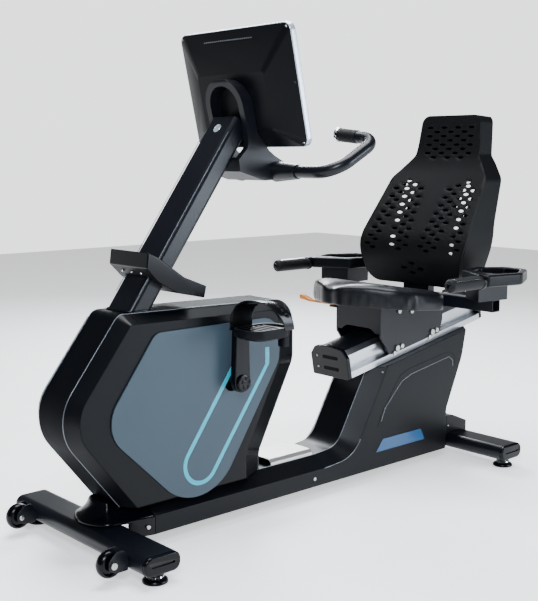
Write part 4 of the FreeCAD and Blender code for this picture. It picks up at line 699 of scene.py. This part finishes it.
def backSlots():
    slots = []
    for row in range(backrest["headRows"]):
        z = backrest["headTop"] - row * backrest["headPitch"]
        columns = [-1, 0, 1] if row % 2 else [-1.5, -0.5, 0.5, 1.5]
        slots += [(c * backrest["headSpacing"], z) for c in columns]
    for start, top, count in backrest["bandColumns"]:
        for k in range(count):
            z = top - k * backrest["bandPitch"]
            y = start + (800 - z) * -backrest["bandDrift"] * (-1 if start > 120 else 1)
            slots += [(y, z), (-y, z)]
    return slots + backrest["lowSlots"]


half = backrest["half"]
backOutline = [(y, z, r) for y, z, r in half] + [(-y, z, r) for y, z, r in reversed(half)]
shell = plate(backOutline, lambda u, v, w: Vector((w / 1000, u / 1000, v / 1000)),
              backrest["thickness"], 10)
cutters = []
for y, z in backSlots():
    points = slotOutline(y, z, backrest["slotLength"], backrest["slotHeight"])
    cutters.append(plate(points, lambda u, v, w: Vector(((w - 10) / 1000, u / 1000, v / 1000)), 30))
subtract(shell, join(cutters))
pick(shell)
editMode()
cellSize = backrest["cell"]
for k in range(int((backrest["top"] - backrest["bottom"]) / cellSize) + 1):
    bpy.ops.mesh.select_all(action="SELECT")
    height = backrest["bottom"] + 4 + k * cellSize
    bpy.ops.mesh.bisect(plane_co=(0, 0, height / 1000), plane_no=(0, 0, 1))
for k in range(int(2 * backrest["halfWide"] / cellSize / 1.5) + 1):
    bpy.ops.mesh.select_all(action="SELECT")
    across = 4 - backrest["halfWide"] + k * cellSize * 1.5
    bpy.ops.mesh.bisect(plane_co=(0, across / 1000, 0), plane_no=(0, 1, 0))
objectMode()
for vertex in shell.data.vertices:
    x, y, z = (c * 1000 for c in vertex.co)
    vertex.co = at(backFront(z) + backDish(y) + x, y, z)
soften(shell, 1.0, 2, 50, 40)
finishPiece(shell, "backrest_shell", "mattPanel", "seat", "back_plastic", ["backrest_panel"])
for vertex in bpy.data.objects["backrest_frame_finished"].data.vertices:
    vertex.co.x += (backDish(vertex.co.y * 1000) - backrest["frontOffset"]) / 1000
print("backrest shell done")


# seat cushion

cushion = {
    "plan": [(7, 0, 10), (0, -30, 30), (48, -108, 90), (100, -170, 60), (152, -200, 50), (321, -200, 60),
             (321, 200, 60), (152, 200, 50), (100, 170, 60), (48, 108, 90), (0, 30, 30)],
    "front": 805, "length": 320, "base": 515.0, "slope": -0.0914, "slopeFrom": 931, "thick": 56, "under": 16,
    "voxel": 6, "hollow": 11, "hollowWidth": 30, "lobe": 5, "lobeSpot": (110, 90), "lobeSize": (90, 60),
    "sink": 9, "maxMove": 5, "frames": 20, "wrinkleDepth": 1.3, "wrinkleHeight": 16, "wrinkleSpread": 17,
    "cloth": {"quality": 4, "mass": 0.3, "tension_stiffness": 12, "compression_stiffness": 6,
              "shear_stiffness": 6, "bending_stiffness": 0.3, "use_pressure": True,
              "uniform_pressure_force": 4.0},
}


def seatPlane(x):
    return cushion["base"] + (x - cushion["slopeFrom"]) * cushion["slope"]


pad = plate(cushion["plan"], lambda u, v, w: Vector((u, v, w - cushion["under"])) / 1000,
            cushion["thick"] + cushion["under"], 8)
soften(pad, 17, 4, 50, 60)
pick(pad)
addModifier(pad, "REMESH", mode="VOXEL", voxel_size=cushion["voxel"] / 1000)
applyAll(pad)
# two thigh lobes with a hollow between them, lower at the rear
lobeX, lobeY = cushion["lobeSpot"]
lobeLong, lobeWide = cushion["lobeSize"]
for vertex in pad.data.vertices:
    x, y, z = (c * 1000 for c in vertex.co)
    rise = z / cushion["thick"]
    hollow = cushion["hollow"] * math.exp(-(y / cushion["hollowWidth"]) ** 2)
    hollow *= 1 - 0.6 * clamp(x / cushion["length"])
    lobe = cushion["lobe"] * math.exp(-((abs(y) - lobeY) / lobeWide) ** 2)
    lobe *= math.exp(-((x - lobeX) / lobeLong) ** 2)
    sink = cushion["sink"] * clamp((x - 120) / 200)
    vertex.co.z += (lobe - hollow - sink) * max(rise - 0.25, 0) / 750
resting = [vertex.co.copy() for vertex in pad.data.vertices]
pick(pad)
cloth = addModifier(pad, "CLOTH")
for setting, value in cushion["cloth"].items():
    setattr(cloth.settings, setting, value)
cloth.settings.effector_weights.gravity = 0
cloth.collision_settings.use_collision = False
cloth.point_cache.frame_start = 1
cloth.point_cache.frame_end = cushion["frames"]
for number in range(1, cushion["frames"] + 1):
    bpy.context.scene.frame_set(number)
applyAll(pad)
limit = cushion["maxMove"] / 1000
for vertex, rest in zip(pad.data.vertices, resting):
    move = vertex.co - rest
    if move.length > limit:
        move *= limit / move.length
    vertex.co = rest + move
pick(pad)
addModifier(pad, "SMOOTH", factor=0.6, iterations=14)
addModifier(pad, "SUBSURF", levels=1, render_levels=1)
applyAll(pad)
for vertex in pad.data.vertices:
    x, y, z = (c * 1000 for c in vertex.co)
    # gathers along the flanks, where the cover is pulled under
    edge = math.exp(-((z - cushion["wrinkleHeight"]) / cushion["wrinkleSpread"]) ** 2)
    flank = math.exp(-((x - 70 - 0.35 * abs(y)) / 70) ** 2)
    along = abs(y) * 0.8 + x * 0.6
    fold = math.sin(along / 7.3 + 0.9 * math.sin(along / 19)) + 0.6 * math.sin(along / 4.1)
    shift = cushion["wrinkleDepth"] * edge * flank * fold
    x += shift * 0.7
    y += shift * (-0.7 if y > 0 else 0.7)
    z = z if z > 0 else z * 0.05
    vertex.co = at(cushion["front"] + x, y, seatPlane(cushion["front"] + x) + z)
pick(pad)
bpy.ops.object.shade_smooth()
finishPiece(pad, "seat_cushion_padded", "leatherette", "seat", "seat_leather", ["seat_cushion"])
print("seat cushion done")


# pedals

pedal = {
    "x": 372, "inner": 150, "outer": 248, "length": 140, "round": 40, "thick": 26, "rise": 80,
    "leftHeight": 518, "rightHeight": 246, "keel": 0.009, "ribPitch": 17, "ribHalf": 3, "ribEnd": 14,
    "hook": [(412, -236, 5), (432, -236, 5), (432, -212, 5), (412, -212, 5)], "boss": 13,
    "strapFrom": (308, 380), "strapTo": (404, 436), "strapThickness": 3.2, "holes": 6, "rows": 48,
    "columns": 9,
}


def pedalPlan(x, half, end, rounding):
    # a rounded rectangle across the pedal
    inner, outer = -pedal["inner"] - end, -pedal["outer"] + end
    return [(x - half, inner, rounding), (x - half, outer, rounding),
            (x + half, outer, rounding), (x + half, inner, rounding)]


def pedalPiece(centreZ):
    # foot bed: a shallow dished tray with rounded ends and a rim
    half = pedal["length"] / 2
    plan = pedalPlan(pedal["x"], half, 0, pedal["round"])
    bed = topPlate(plan, centreZ - pedal["thick"] / 2, pedal["thick"], 8)
    editMode()
    bpy.ops.mesh.select_mode(type="FACE")
    bpy.ops.mesh.select_all(action="DESELECT")
    objectMode()
    top = max(bed.data.polygons, key=lambda face: face.center.z)
    top.select = True
    editMode()
    bpy.ops.mesh.inset(thickness=0.007)
    bpy.ops.mesh.inset(thickness=0.004, depth=-0.006)
    bpy.ops.mesh.select_all(action="DESELECT")
    objectMode()
    bottom = min(bed.data.polygons, key=lambda face: face.center.z)
    bottom.select = True
    editMode()
    bpy.ops.mesh.inset(thickness=0.016, depth=0.006)
    objectMode()
    lowest = [v for v in bed.data.vertices if v.co.z * 1000 < centreZ]
    for vertex in lowest:
        # the underside is drawn up towards the ends like a keel
        along = (vertex.co.x * 1000 - (feetX * 1000 + pedal["x"])) / half
        vertex.co.z += pedal["keel"] * abs(along) ** 1.5
    soften(bed, 1.8, 3, 25, 40)
    ribs = []
    for k in range(-2, 3):
        plan = pedalPlan(pedal["x"] + k * pedal["ribPitch"], pedal["ribHalf"], pedal["ribEnd"], 2.5)
        rib = topPlate(plan, centreZ + pedal["thick"] / 2 - 7, 4.5, 4)
        ribs.append(soften(rib, 1.0, 2, 30, 40))
    # hook for the strap and counterweight under the rear corner
    hook = topPlate(pedal["hook"], centreZ - 38, 30, 5)
    soften(hook, 3, 3, 30, 40)
    spindleBoss = disc(at(crank["x"], -pedal["inner"] + 1, centreZ), outwards(-1), pedal["boss"], 8, 40)
    soften(spindleBoss, 1.5, 2, 30, 40)
    bed = join([bed, hook, spindleBoss] + ribs)
    shadeUpTo(40)
    return bed


def strapPoint(s, t, centreZ):
    # s runs over the arch from the crank side to the outer side, t across the strap
    fromX = pedal["strapFrom"][0] + t * (pedal["strapFrom"][1] - pedal["strapFrom"][0])
    toX = pedal["strapTo"][0] + t * (pedal["strapTo"][1] - pedal["strapTo"][0])
    height = math.sin(math.pi * clamp(s) ** 0.78)
    height = max(height, 0) ** 0.62
    x = fromX + (toX - fromX) * s ** 1.15
    share = (0.5 - 0.5 * math.cos(math.pi * s)) ** 0.9
    y = -(pedal["inner"] + 3) - (pedal["outer"] - pedal["inner"] - 3) * share
    foot = centreZ + 6
    return at(x, y, foot + (pedal["rise"] - 6 - 7 * t) * height)


def strapPiece(centreZ):
    rows, columns = pedal["rows"], pedal["columns"]
    deselectAll()
    bpy.ops.mesh.primitive_grid_add(x_subdivisions=rows, y_subdivisions=columns, size=1)
    strap = bpy.context.object
    for vertex in strap.data.vertices:
        vertex.co = strapPoint(vertex.co.x + 0.5, vertex.co.y + 0.5, centreZ)
    # a row of square holes near the outer end
    editMode()
    bpy.ops.mesh.select_all(action="DESELECT")
    bpy.ops.mesh.select_mode(type="FACE")
    objectMode()
    strap.data.update()
    firstHole = rows - 4 * pedal["holes"] - 4
    for face in strap.data.polygons:
        column, row = divmod(face.index, rows)
        inHole = firstHole <= row < rows - 4 and (row - firstHole) % 4 < 2
        face.select = inHole and column in (columns - 4, columns - 3)
    editMode()
    bpy.ops.mesh.delete(type="FACE")
    faceOut()
    pick(strap)
    addModifier(strap, "SOLIDIFY", thickness=pedal["strapThickness"] / 1000, offset=0)
    addModifier(strap, "BEVEL", width=0.0008, segments=2, limit_method="ANGLE")
    applyAll(strap)
    shadeUpTo(50)
    return strap


bedLeft = pedalPiece(pedal["leftHeight"])
strapLeft = strapPiece(pedal["leftHeight"])
bedRight = otherSide(bedLeft)
strapRight = otherSide(strapLeft)
for piece in (bedRight, strapRight):
    piece.data.transform(Matrix.Translation((0, 0, (pedal["rightHeight"] - pedal["leftHeight"]) / 1000)))
for side, bed, strap in (("left", bedLeft, strapLeft), ("right", bedRight, strapRight)):
    body = side + "_pedal_body"
    finishPiece(bed, side + "_pedal_bed", "satinNylon", body, "cover_plastic", [side + "_pedal"])
    finishPiece(strap, side + "_toe_strap", "glossStrap", body, "black_rubber", [side + "_pedal_strap"])

# caps over the crank bolts, each with five round recesses
for sign, side in sides:
    cap = disc(at(crank["x"], sign * crank["capOut"], crank["z"]), outwards(sign), crank["cap"], 6, 48)
    holes = []
    for k in range(crank["recesses"]):
        angle = math.tau * k / crank["recesses"] + crank["recessTurn"]
        x = crank["x"] + crank["recessCircle"] * math.cos(angle)
        z = crank["z"] + crank["recessCircle"] * math.sin(angle)
        holes.append(disc(at(x, sign * crank["recessOut"], z), outwards(sign), crank["recess"], 6, 20))
    subtract(cap, join(holes))
    soften(cap, 0.9, 2, 35, 40)
    finishPiece(cap, side + "_crank_cap", "glossAbs", "crank", "cover_plastic")
print("pedals done")


# wheels, feet, end caps, screws

# profiles give (radius, distance); the wheel's is one half, from the hub to the middle of the tread
wheel = {
    "x": -87, "y": 206, "z": 50, "halfWidth": 12, "bolt": 17.5, "cheek": 14.2, "cheekThick": 3.4,
    "profile": [(0.01, 5), (9, 5), (10, 2), (14, 2), (15, 6), (22, 7), (24, 2), (26, 0), (30, 3), (32, 8)],
    "boltProfile": [(0.01, 0), (6.6, 0), (6.6, 3.2), (5.4, 4.6), (3.2, 5), (2.8, 3), (0.01, 3)],
    "cheekPlan": [(-48, 66, 8), (-48, 30, 3), (-78, 30, 10), (-99, 40, 12), (-99, 60, 12), (-80, 78, 14),
                  (-60, 80, 10)],
}
feet = {
    "y": 258, "front": 0, "rear": 1315, "endCap": 291.5,
    "pad": [(0.01, 0), (27, 0), (30, 2), (30, 6), (27, 10), (20, 13), (14, 14.5), (0.01, 14.5)],
    "ring": [(10, 13.4), (19.5, 13.4), (21, 15), (20, 17), (12, 19), (10, 19)],
    "stem": [(0.01, 14), (5.6, 14), (5.6, 40), (0.01, 40)],
}
tread = [(radius, inset - wheel["halfWidth"]) for radius, inset in wheel["profile"]]
tread += [(radius, -along) for radius, along in reversed(tread)]
for outer, side in sides:
    y = outer * wheel["y"]
    node = "transport_wheel_" + side
    tyre = lathe(tread, at(wheel["x"], y, wheel["z"]), outwards(1), 56)
    finishPiece(tyre, node + "_tyre", "glossAbs", "wheel_" + side, "wheel_rubber", [node])
    for sign in (-1, 1):
        ending = f"{side}_{'in' if sign * y < 0 else 'out'}"
        hub = at(wheel["x"], y + sign * wheel["bolt"], wheel["z"])
        bolt = lathe(wheel["boltProfile"], hub, outwards(sign), 24)
        finishPiece(bolt, "wheel_bolt_" + ending, "zincSteel", "base", "zinc_steel")
        # curved cheek of the fork
        inner = y + sign * wheel["cheek"] - (0 if sign > 0 else wheel["cheekThick"])
        cheek = sidePlate(wheel["cheekPlan"], inner, wheel["cheekThick"], 8)
        soften(cheek, 1.2, 3, 30, 40)
        finishPiece(cheek, "wheel_cheek_" + ending, "powderCoat", "base", "frame_paint")

for end in ("front", "rear"):
    for sign, side in sides:
        name = f"{end}_{side}"
        body = "foot_" + name
        place = at(feet[end], sign * feet["y"], 0)
        pad = lathe(feet["pad"], place, upward, 56)
        finishPiece(pad, name + "_foot_pad", "glossAbs", body, "black_rubber")
        ring = lathe(feet["ring"], place, upward, 48)
        finishPiece(ring, name + "_foot_ring", "chromePlate", body, "zinc_steel")
        stem = lathe(feet["stem"], place, upward, 20)
        finishPiece(stem, name + "_foot_stem", "zincSteel", body, "zinc_steel", [f"{end}_foot_{side}"])

# the slots in the end caps of the stabilisers
capPiece = bpy.data.objects["stabilizer_end_caps_finished"]
for x in (feet["front"], feet["rear"]):
    for sign in (-1, 1):
        outline = [(x - 32, 47.5, 2.6), (x + 32, 47.5, 2.6), (x + 32, 53, 2.6), (x - 32, 53, 2.6)]
        start = sign * feet["endCap"] - (0.5 if sign < 0 else 3.5)
        subtract(capPiece, sidePlate(outline, start, 4.5, 5))
pick(capPiece)
shadeUpTo(35)


def screw(place, axis, name, radius=3.4):
    profile = [(0.01, 0.4), (radius * 0.42, 0.4), (radius * 0.5, 1.2), (radius * 0.8, 1.6), (radius, 0.9),
               (radius, -1.5), (0.01, -1.5)]
    return finishPiece(lathe(profile, place, axis, 18), name, "zincSteel", "base", "zinc_steel")


consoleScrews = [onConsole(4, sign * 205, up) for sign in (-1, 1) for up in (-142, 8, 142)]
for number, spot in enumerate(consoleScrews):
    screw(spot - consoleOut * 0.0055, -consoleOut, f"console_screw_{number}", 3.2)
for sign, side in sides:
    screw(at(98, sign * 92.2, 58), outwards(sign), side + "_front_cover_screw", 3.6)
    screw(at(1276, sign * 74.2, 98), outwards(sign), side + "_rear_cover_screw", 3.2)
    screw(at(935, sign * 96.4, 322), outwards(sign), side + "_column_screw", 2.6)
# two slots and two screws in the front face of the rail's cap; each slot is a thin near-black plate of painted
# shade standing for its depth
for up in (24, 58):
    spot = onRail(-14.6, 46, up)
    screw(spot, -railAlong, f"rail_cap_screw_{up}", 3.4)
    well = plate([(-30, -5, 4), (30, -5, 4), (30, 5, 4), (-30, 5, 4)],
                 lambda u, v, w, up=up: onRail(-14.2 - w, u - 6, up + v), 0.8, 5)
    finishPiece(soften(well, 0.3, 1), f"rail_cap_slot_shade_{up}", "seamShadow", "base", "gloss_black")
print("wheels, feet and screws done")


# flared cover over the front of the frame

footCover = {
    "rim": [(-34, 0), (-30, 25), (-18, 52), (2, 73), (35, 78), (70, 86), (117.5, 97)],
    "frontSection": [(0, 74), (0, 79), (3, 84), (9, 86.5), (14, 90), (26, 101), (33, 113), (35, 126),
                     (46, 129), (76, 124)],
    "sideSection": [(0, 74), (0, 78), (2, 81), (8, 84.5), (14, 88), (24, 95), (34, 103), (43, 111.6),
                    (50, 112), (60, 112)],
    "skirt": [(50.6, 35, 3), (117.5, 35), (117.5, 80), (30, 80), (30, 74.2), (50.6, 74.2)], "taper": 0.232,
    "joint": [(118, 97.1, 36), (118, 97.1, 78), (118, 96, 80.5), (118, 54.5, 112.2)],
    "blend": (-26, 44), "around": 84, "wall": 2.6,
}


def smoothLine(points, count):
    # even points along a curve that passes through the given ones
    spots = [Vector(p) for p in points]
    ends = [spots[0] * 2 - spots[1]] + spots + [spots[-1] * 2 - spots[-2]]
    dense = []
    for a, b, c, d in zip(ends, ends[1:], ends[2:], ends[3:]):
        for k in range(24):
            t = k / 24
            dense.append(0.5 * (2 * b + (c - a) * t + (2 * a - 5 * b + 4 * c - d) * t * t
                                + (3 * b - a - 3 * c + d) * t ** 3))
    dense.append(spots[-1])
    lengths = [0]
    for first, second in zip(dense, dense[1:]):
        lengths.append(lengths[-1] + (second - first).length)
    result = []
    place = 0
    for k in range(count + 1):
        target = lengths[-1] * k / count
        while place < len(dense) - 2 and lengths[place + 1] < target:
            place += 1
        share = (target - lengths[place]) / (lengths[place + 1] - lengths[place])
        result.append(dense[place].lerp(dense[place + 1], clamp(share)))
    return result


def footCoverPiece():
    halfRim = footCover["rim"]
    rim = smoothLine([(x, -y) for x, y in reversed(halfRim)] + halfRim[1:], footCover["around"])
    sections = len(footCover["frontSection"])
    deselectAll()
    bpy.ops.mesh.primitive_grid_add(x_subdivisions=footCover["around"], y_subdivisions=sections - 1, size=1)
    cover = bpy.context.object
    low, high = footCover["blend"]
    for vertex in cover.data.vertices:
        around = round((vertex.co.x + 0.5) * footCover["around"])
        level = round((vertex.co.y + 0.5) * (sections - 1))
        spot = rim[around]
        along = (rim[min(around + 1, len(rim) - 1)] - rim[max(around - 1, 0)]).normalized()
        inward = Vector((along.y, -along.x))
        share = clamp((spot.x - low) / (high - low))
        share = share * share * (3 - 2 * share)
        front, side = footCover["frontSection"][level], footCover["sideSection"][level]
        inset = front[0] + (side[0] - front[0]) * share
        height = front[1] + (side[1] - front[1]) * share
        point = spot + inward * inset
        vertex.co = at(point.x, point.y, height)
    faceOut()
    pick(cover)
    addModifier(cover, "SOLIDIFY", thickness=footCover["wall"] / 1000, offset=-1)
    addModifier(cover, "SUBSURF", levels=1, render_levels=1)
    applyAll(cover)
    shadeUpTo(50)
    skirts = []
    end, wide = footCover["rim"][-1]
    for sign in (-1, 1):
        skirt = plate(footCover["skirt"], lambda u, v, w, sign=sign:
                      at(u, sign * (wide - w - (end - u) * footCover["taper"]), v), footCover["wall"], 5)
        skirts.append(soften(skirt, 0.8, 2, 40, 40))
    return join([cover] + skirts)


# a button on the tip of each seat grip and a raised ring at its other end
grip = {
    "tip": 912, "collar": 1052, "y": 345, "z": 599,
    "button": [(0.01, -2.4), (4, -2.2), (7.5, -1.2), (8.4, 0.6), (8.4, 4), (0.01, 4)],
    "band": [(18.3, 0), (20.2, 0.8), (20.8, 3), (20.8, 7), (20.2, 9.2), (18.3, 10)],
}
for sign, side in sides:
    button = lathe(grip["button"], at(grip["tip"], sign * grip["y"], grip["z"]), backward, 32)
    finishPiece(button, side + "_grip_button", "glossAbs", "seat", "black_rubber")
    band = lathe(grip["band"], at(grip["collar"], sign * grip["y"], grip["z"]), backward, 40)
    finishPiece(band, side + "_grip_collar", "glossAbs", "seat", "black_rubber")
flared = footCoverPiece()
finishPiece(flared, "front_foot_cover_flared", "glossAbs", "base", "gloss_black", ["front_foot_cover"])
# a painted shade line along the joint at the rear edge of the flared cover
for sign, side in sides:
    joint = [at(x, sign * y, z) for x, y, z in footCover["joint"]]
    bead(joint, 0.8, side + "_front_cover_joint", "seamShadow")
print("front cover done")


# mast collar, disc, tray screws, console vents

deep, wide, rounding = mast["halfDeep"], mast["halfWide"], mast["round"]
mastOutline = roundedOutline([(-deep, -wide, rounding), (deep, -wide, rounding), (deep, wide, rounding),
                              (-deep, wide, rounding)])
collarPlan = [(mast["x"] + back / math.cos(mastTilt) * mast["collarGrow"], y * mast["collarGrow"])
              for back, y in mastOutline]
collar = topPlate(collarPlan, mast["z"] - 1, 5)
finishPiece(soften(collar, 1.8, 3, 25, 40), "mast_collar", "glossAbs", "base", "cover_plastic")
discProfile = [(0.01, 0), (11, 0), (12, 1.2), (11.4, 2), (9.6, 2), (9, 1.3), (0.01, 1.3)]
mastDisc = lathe(discProfile, onMast(mast["disc"], 0, -27.4), -mastBack, 40)
finishPiece(mastDisc, "mast_disc", "silverLacquer", "base", "trim_silver")
# a painted highlight line along each front edge of the mast
for sign, side in sides:
    ends = [onMast(along, sign * 48.6, -26.1) for along in (mast["lineFrom"], mast["lineTo"])]
    bead(ends, 0.9, side + "_mast_edge_highlight", "paintedEdgeHighlight", "frame_paint")
# the vents are small domes in the same light grey metallic as the painted edge highlights
ventProfile = [(0.01, 0), (1.7, 0), (1.7, 0.7), (1.1, 0.9), (0.01, 0.4)]
vents = [lathe(ventProfile, onConsole(-18.8, -92 + k * 8, 127), -consoleOut, 12) for k in range(24)]
finishPiece(join(vents), "console_vents", "paintedEdgeHighlight", "base", "cover_plastic")
for y in (-40, 0, 40):
    screw(at(128, y, 668), Vector((-0.45, 0, -0.9)), f"tray_screw_{y + 40}", 3.8)
ringProfile = [(16.2, 0), (18.4, 0), (18.9, 1.5), (18.9, 7), (18.2, 8.4), (16.2, 8.4)]
for sign, side in sides:
    ring = lathe(ringProfile, at(681.2, sign * 160, 1002), Vector((-0.12, -sign * 0.99, 0.11)), 40)
    finishPiece(ring, side + "_grip_ring", "chromePlate", "base", "zinc_steel")
print("mast and console details done")


# floor, lights, camera

deselectAll()
bpy.ops.mesh.primitive_plane_add(size=14, location=(0, 0, 0))
floor = bpy.context.object
floor.name = "studioFloor"
floorMat = bpy.data.materials.new("pale studio floor")
floorMat.use_nodes = True
paint = {"Base Color": linear("#f6f6f6"), "Roughness": 0.6, "Emission Color": linear("#f4f5f7"),
         "Emission Strength": 0.85}
for socket, value in paint.items():
    floorMat.node_tree.nodes["Principled BSDF"].inputs[socket].default_value = value
floor.data.materials.append(floorMat)

# the studio has a bright low backdrop behind the bike and is dim elsewhere
studio = {"brightWay": (0.66, 0.74, 0), "bright": 2.3, "dim": 0.12, "top": 0.145, "fade": 0.015}
world = bpy.data.worlds.new("studio")
bpy.context.scene.world = world
world.use_nodes = True
sky = world.node_tree
background = sky.nodes["Background"]
background.inputs["Color"].default_value = linear("#f6f8fb")
direction = addNode(sky, "ShaderNodeTexCoord").outputs["Generated"]
facing = addNode(sky, "ShaderNodeVectorMath", {"operation": "DOT_PRODUCT", 1: studio["brightWay"]},
                 {0: direction}).outputs["Value"]
behind = addNode(sky, "ShaderNodeMapRange", {"From Min": -0.1, "From Max": 0.7}, {"Value": facing})
height = addNode(sky, "ShaderNodeSeparateXYZ", None, {0: direction}).outputs["Z"]
lowBand = {"From Min": studio["top"] + studio["fade"], "From Max": studio["top"]}
low = addNode(sky, "ShaderNodeMapRange", lowBand, {"Value": height})
both = addNode(sky, "ShaderNodeMath", {"operation": "MULTIPLY"},
               {0: behind.outputs["Result"], 1: low.outputs["Result"]}).outputs["Value"]
strength = {"To Min": studio["dim"], "To Max": studio["bright"]}
glow = addNode(sky, "ShaderNodeMapRange", strength, {"Value": both})
sky.links.new(glow.outputs["Result"], background.inputs["Strength"])

softBoxes = {
    "keySoftBox": {"place": (-2.4, -2.4, 2.4), "size": 1.1, "power": 130, "tint": (0.82, 0.90, 1.0)},
    "topSoftBox": {"place": (0.1, 0.3, 3.4), "size": 2.2, "power": 230, "tint": (0.94, 0.97, 1.0)},
    "backSoftBox": {"place": (1.9, 2.4, 2.2), "size": 1.3, "power": 130, "tint": (0.90, 0.95, 1.0)},
    "sideSoftBox": {"place": (1.7, -2.6, 1.0), "size": 1.2, "power": 75, "tint": (0.80, 0.89, 1.0)},
}
for name, box in softBoxes.items():
    light = bpy.data.lights.new(name, "AREA")
    light.energy = box["power"]
    light.size = box["size"]
    light.color = box["tint"]
    lamp = bpy.data.objects.new(name, light)
    bpy.context.scene.collection.objects.link(lamp)
    lamp.location = box["place"]
    lamp.rotation_euler = (Vector((0, 0, 0.55)) - lamp.location).to_track_quat("-Z", "Y").to_euler()

view = {"azimuth": -41.968, "elevation": 8.063, "roll": 0.057, "place": (-1280.7, -2063.6, 950.0),
        "focal": 1028.36, "frame": (538, 601)}
cam = bpy.data.cameras.new("camera")
camera = bpy.data.objects.new("camera", cam)
bpy.context.scene.collection.objects.link(camera)
turnZ, tiltX, roll = (math.radians(view[k]) for k in ("azimuth", "elevation", "roll"))
forward = -Vector((math.sin(turnZ) * math.cos(tiltX), -math.cos(turnZ) * math.cos(tiltX), math.sin(tiltX)))
right = forward.cross(upward).normalized()
up = right.cross(forward)
rightR = right * math.cos(roll) + up * math.sin(roll)
upR = up * math.cos(roll) - right * math.sin(roll)
basis = Matrix((rightR, upR, -forward)).transposed().to_4x4()
camera.matrix_world = Matrix.Translation(at(*view["place"])) @ basis
cam.sensor_fit = "VERTICAL"
cam.sensor_height = 36
cam.lens = view["focal"] / view["frame"][1] * 36
bpy.context.scene.camera = camera
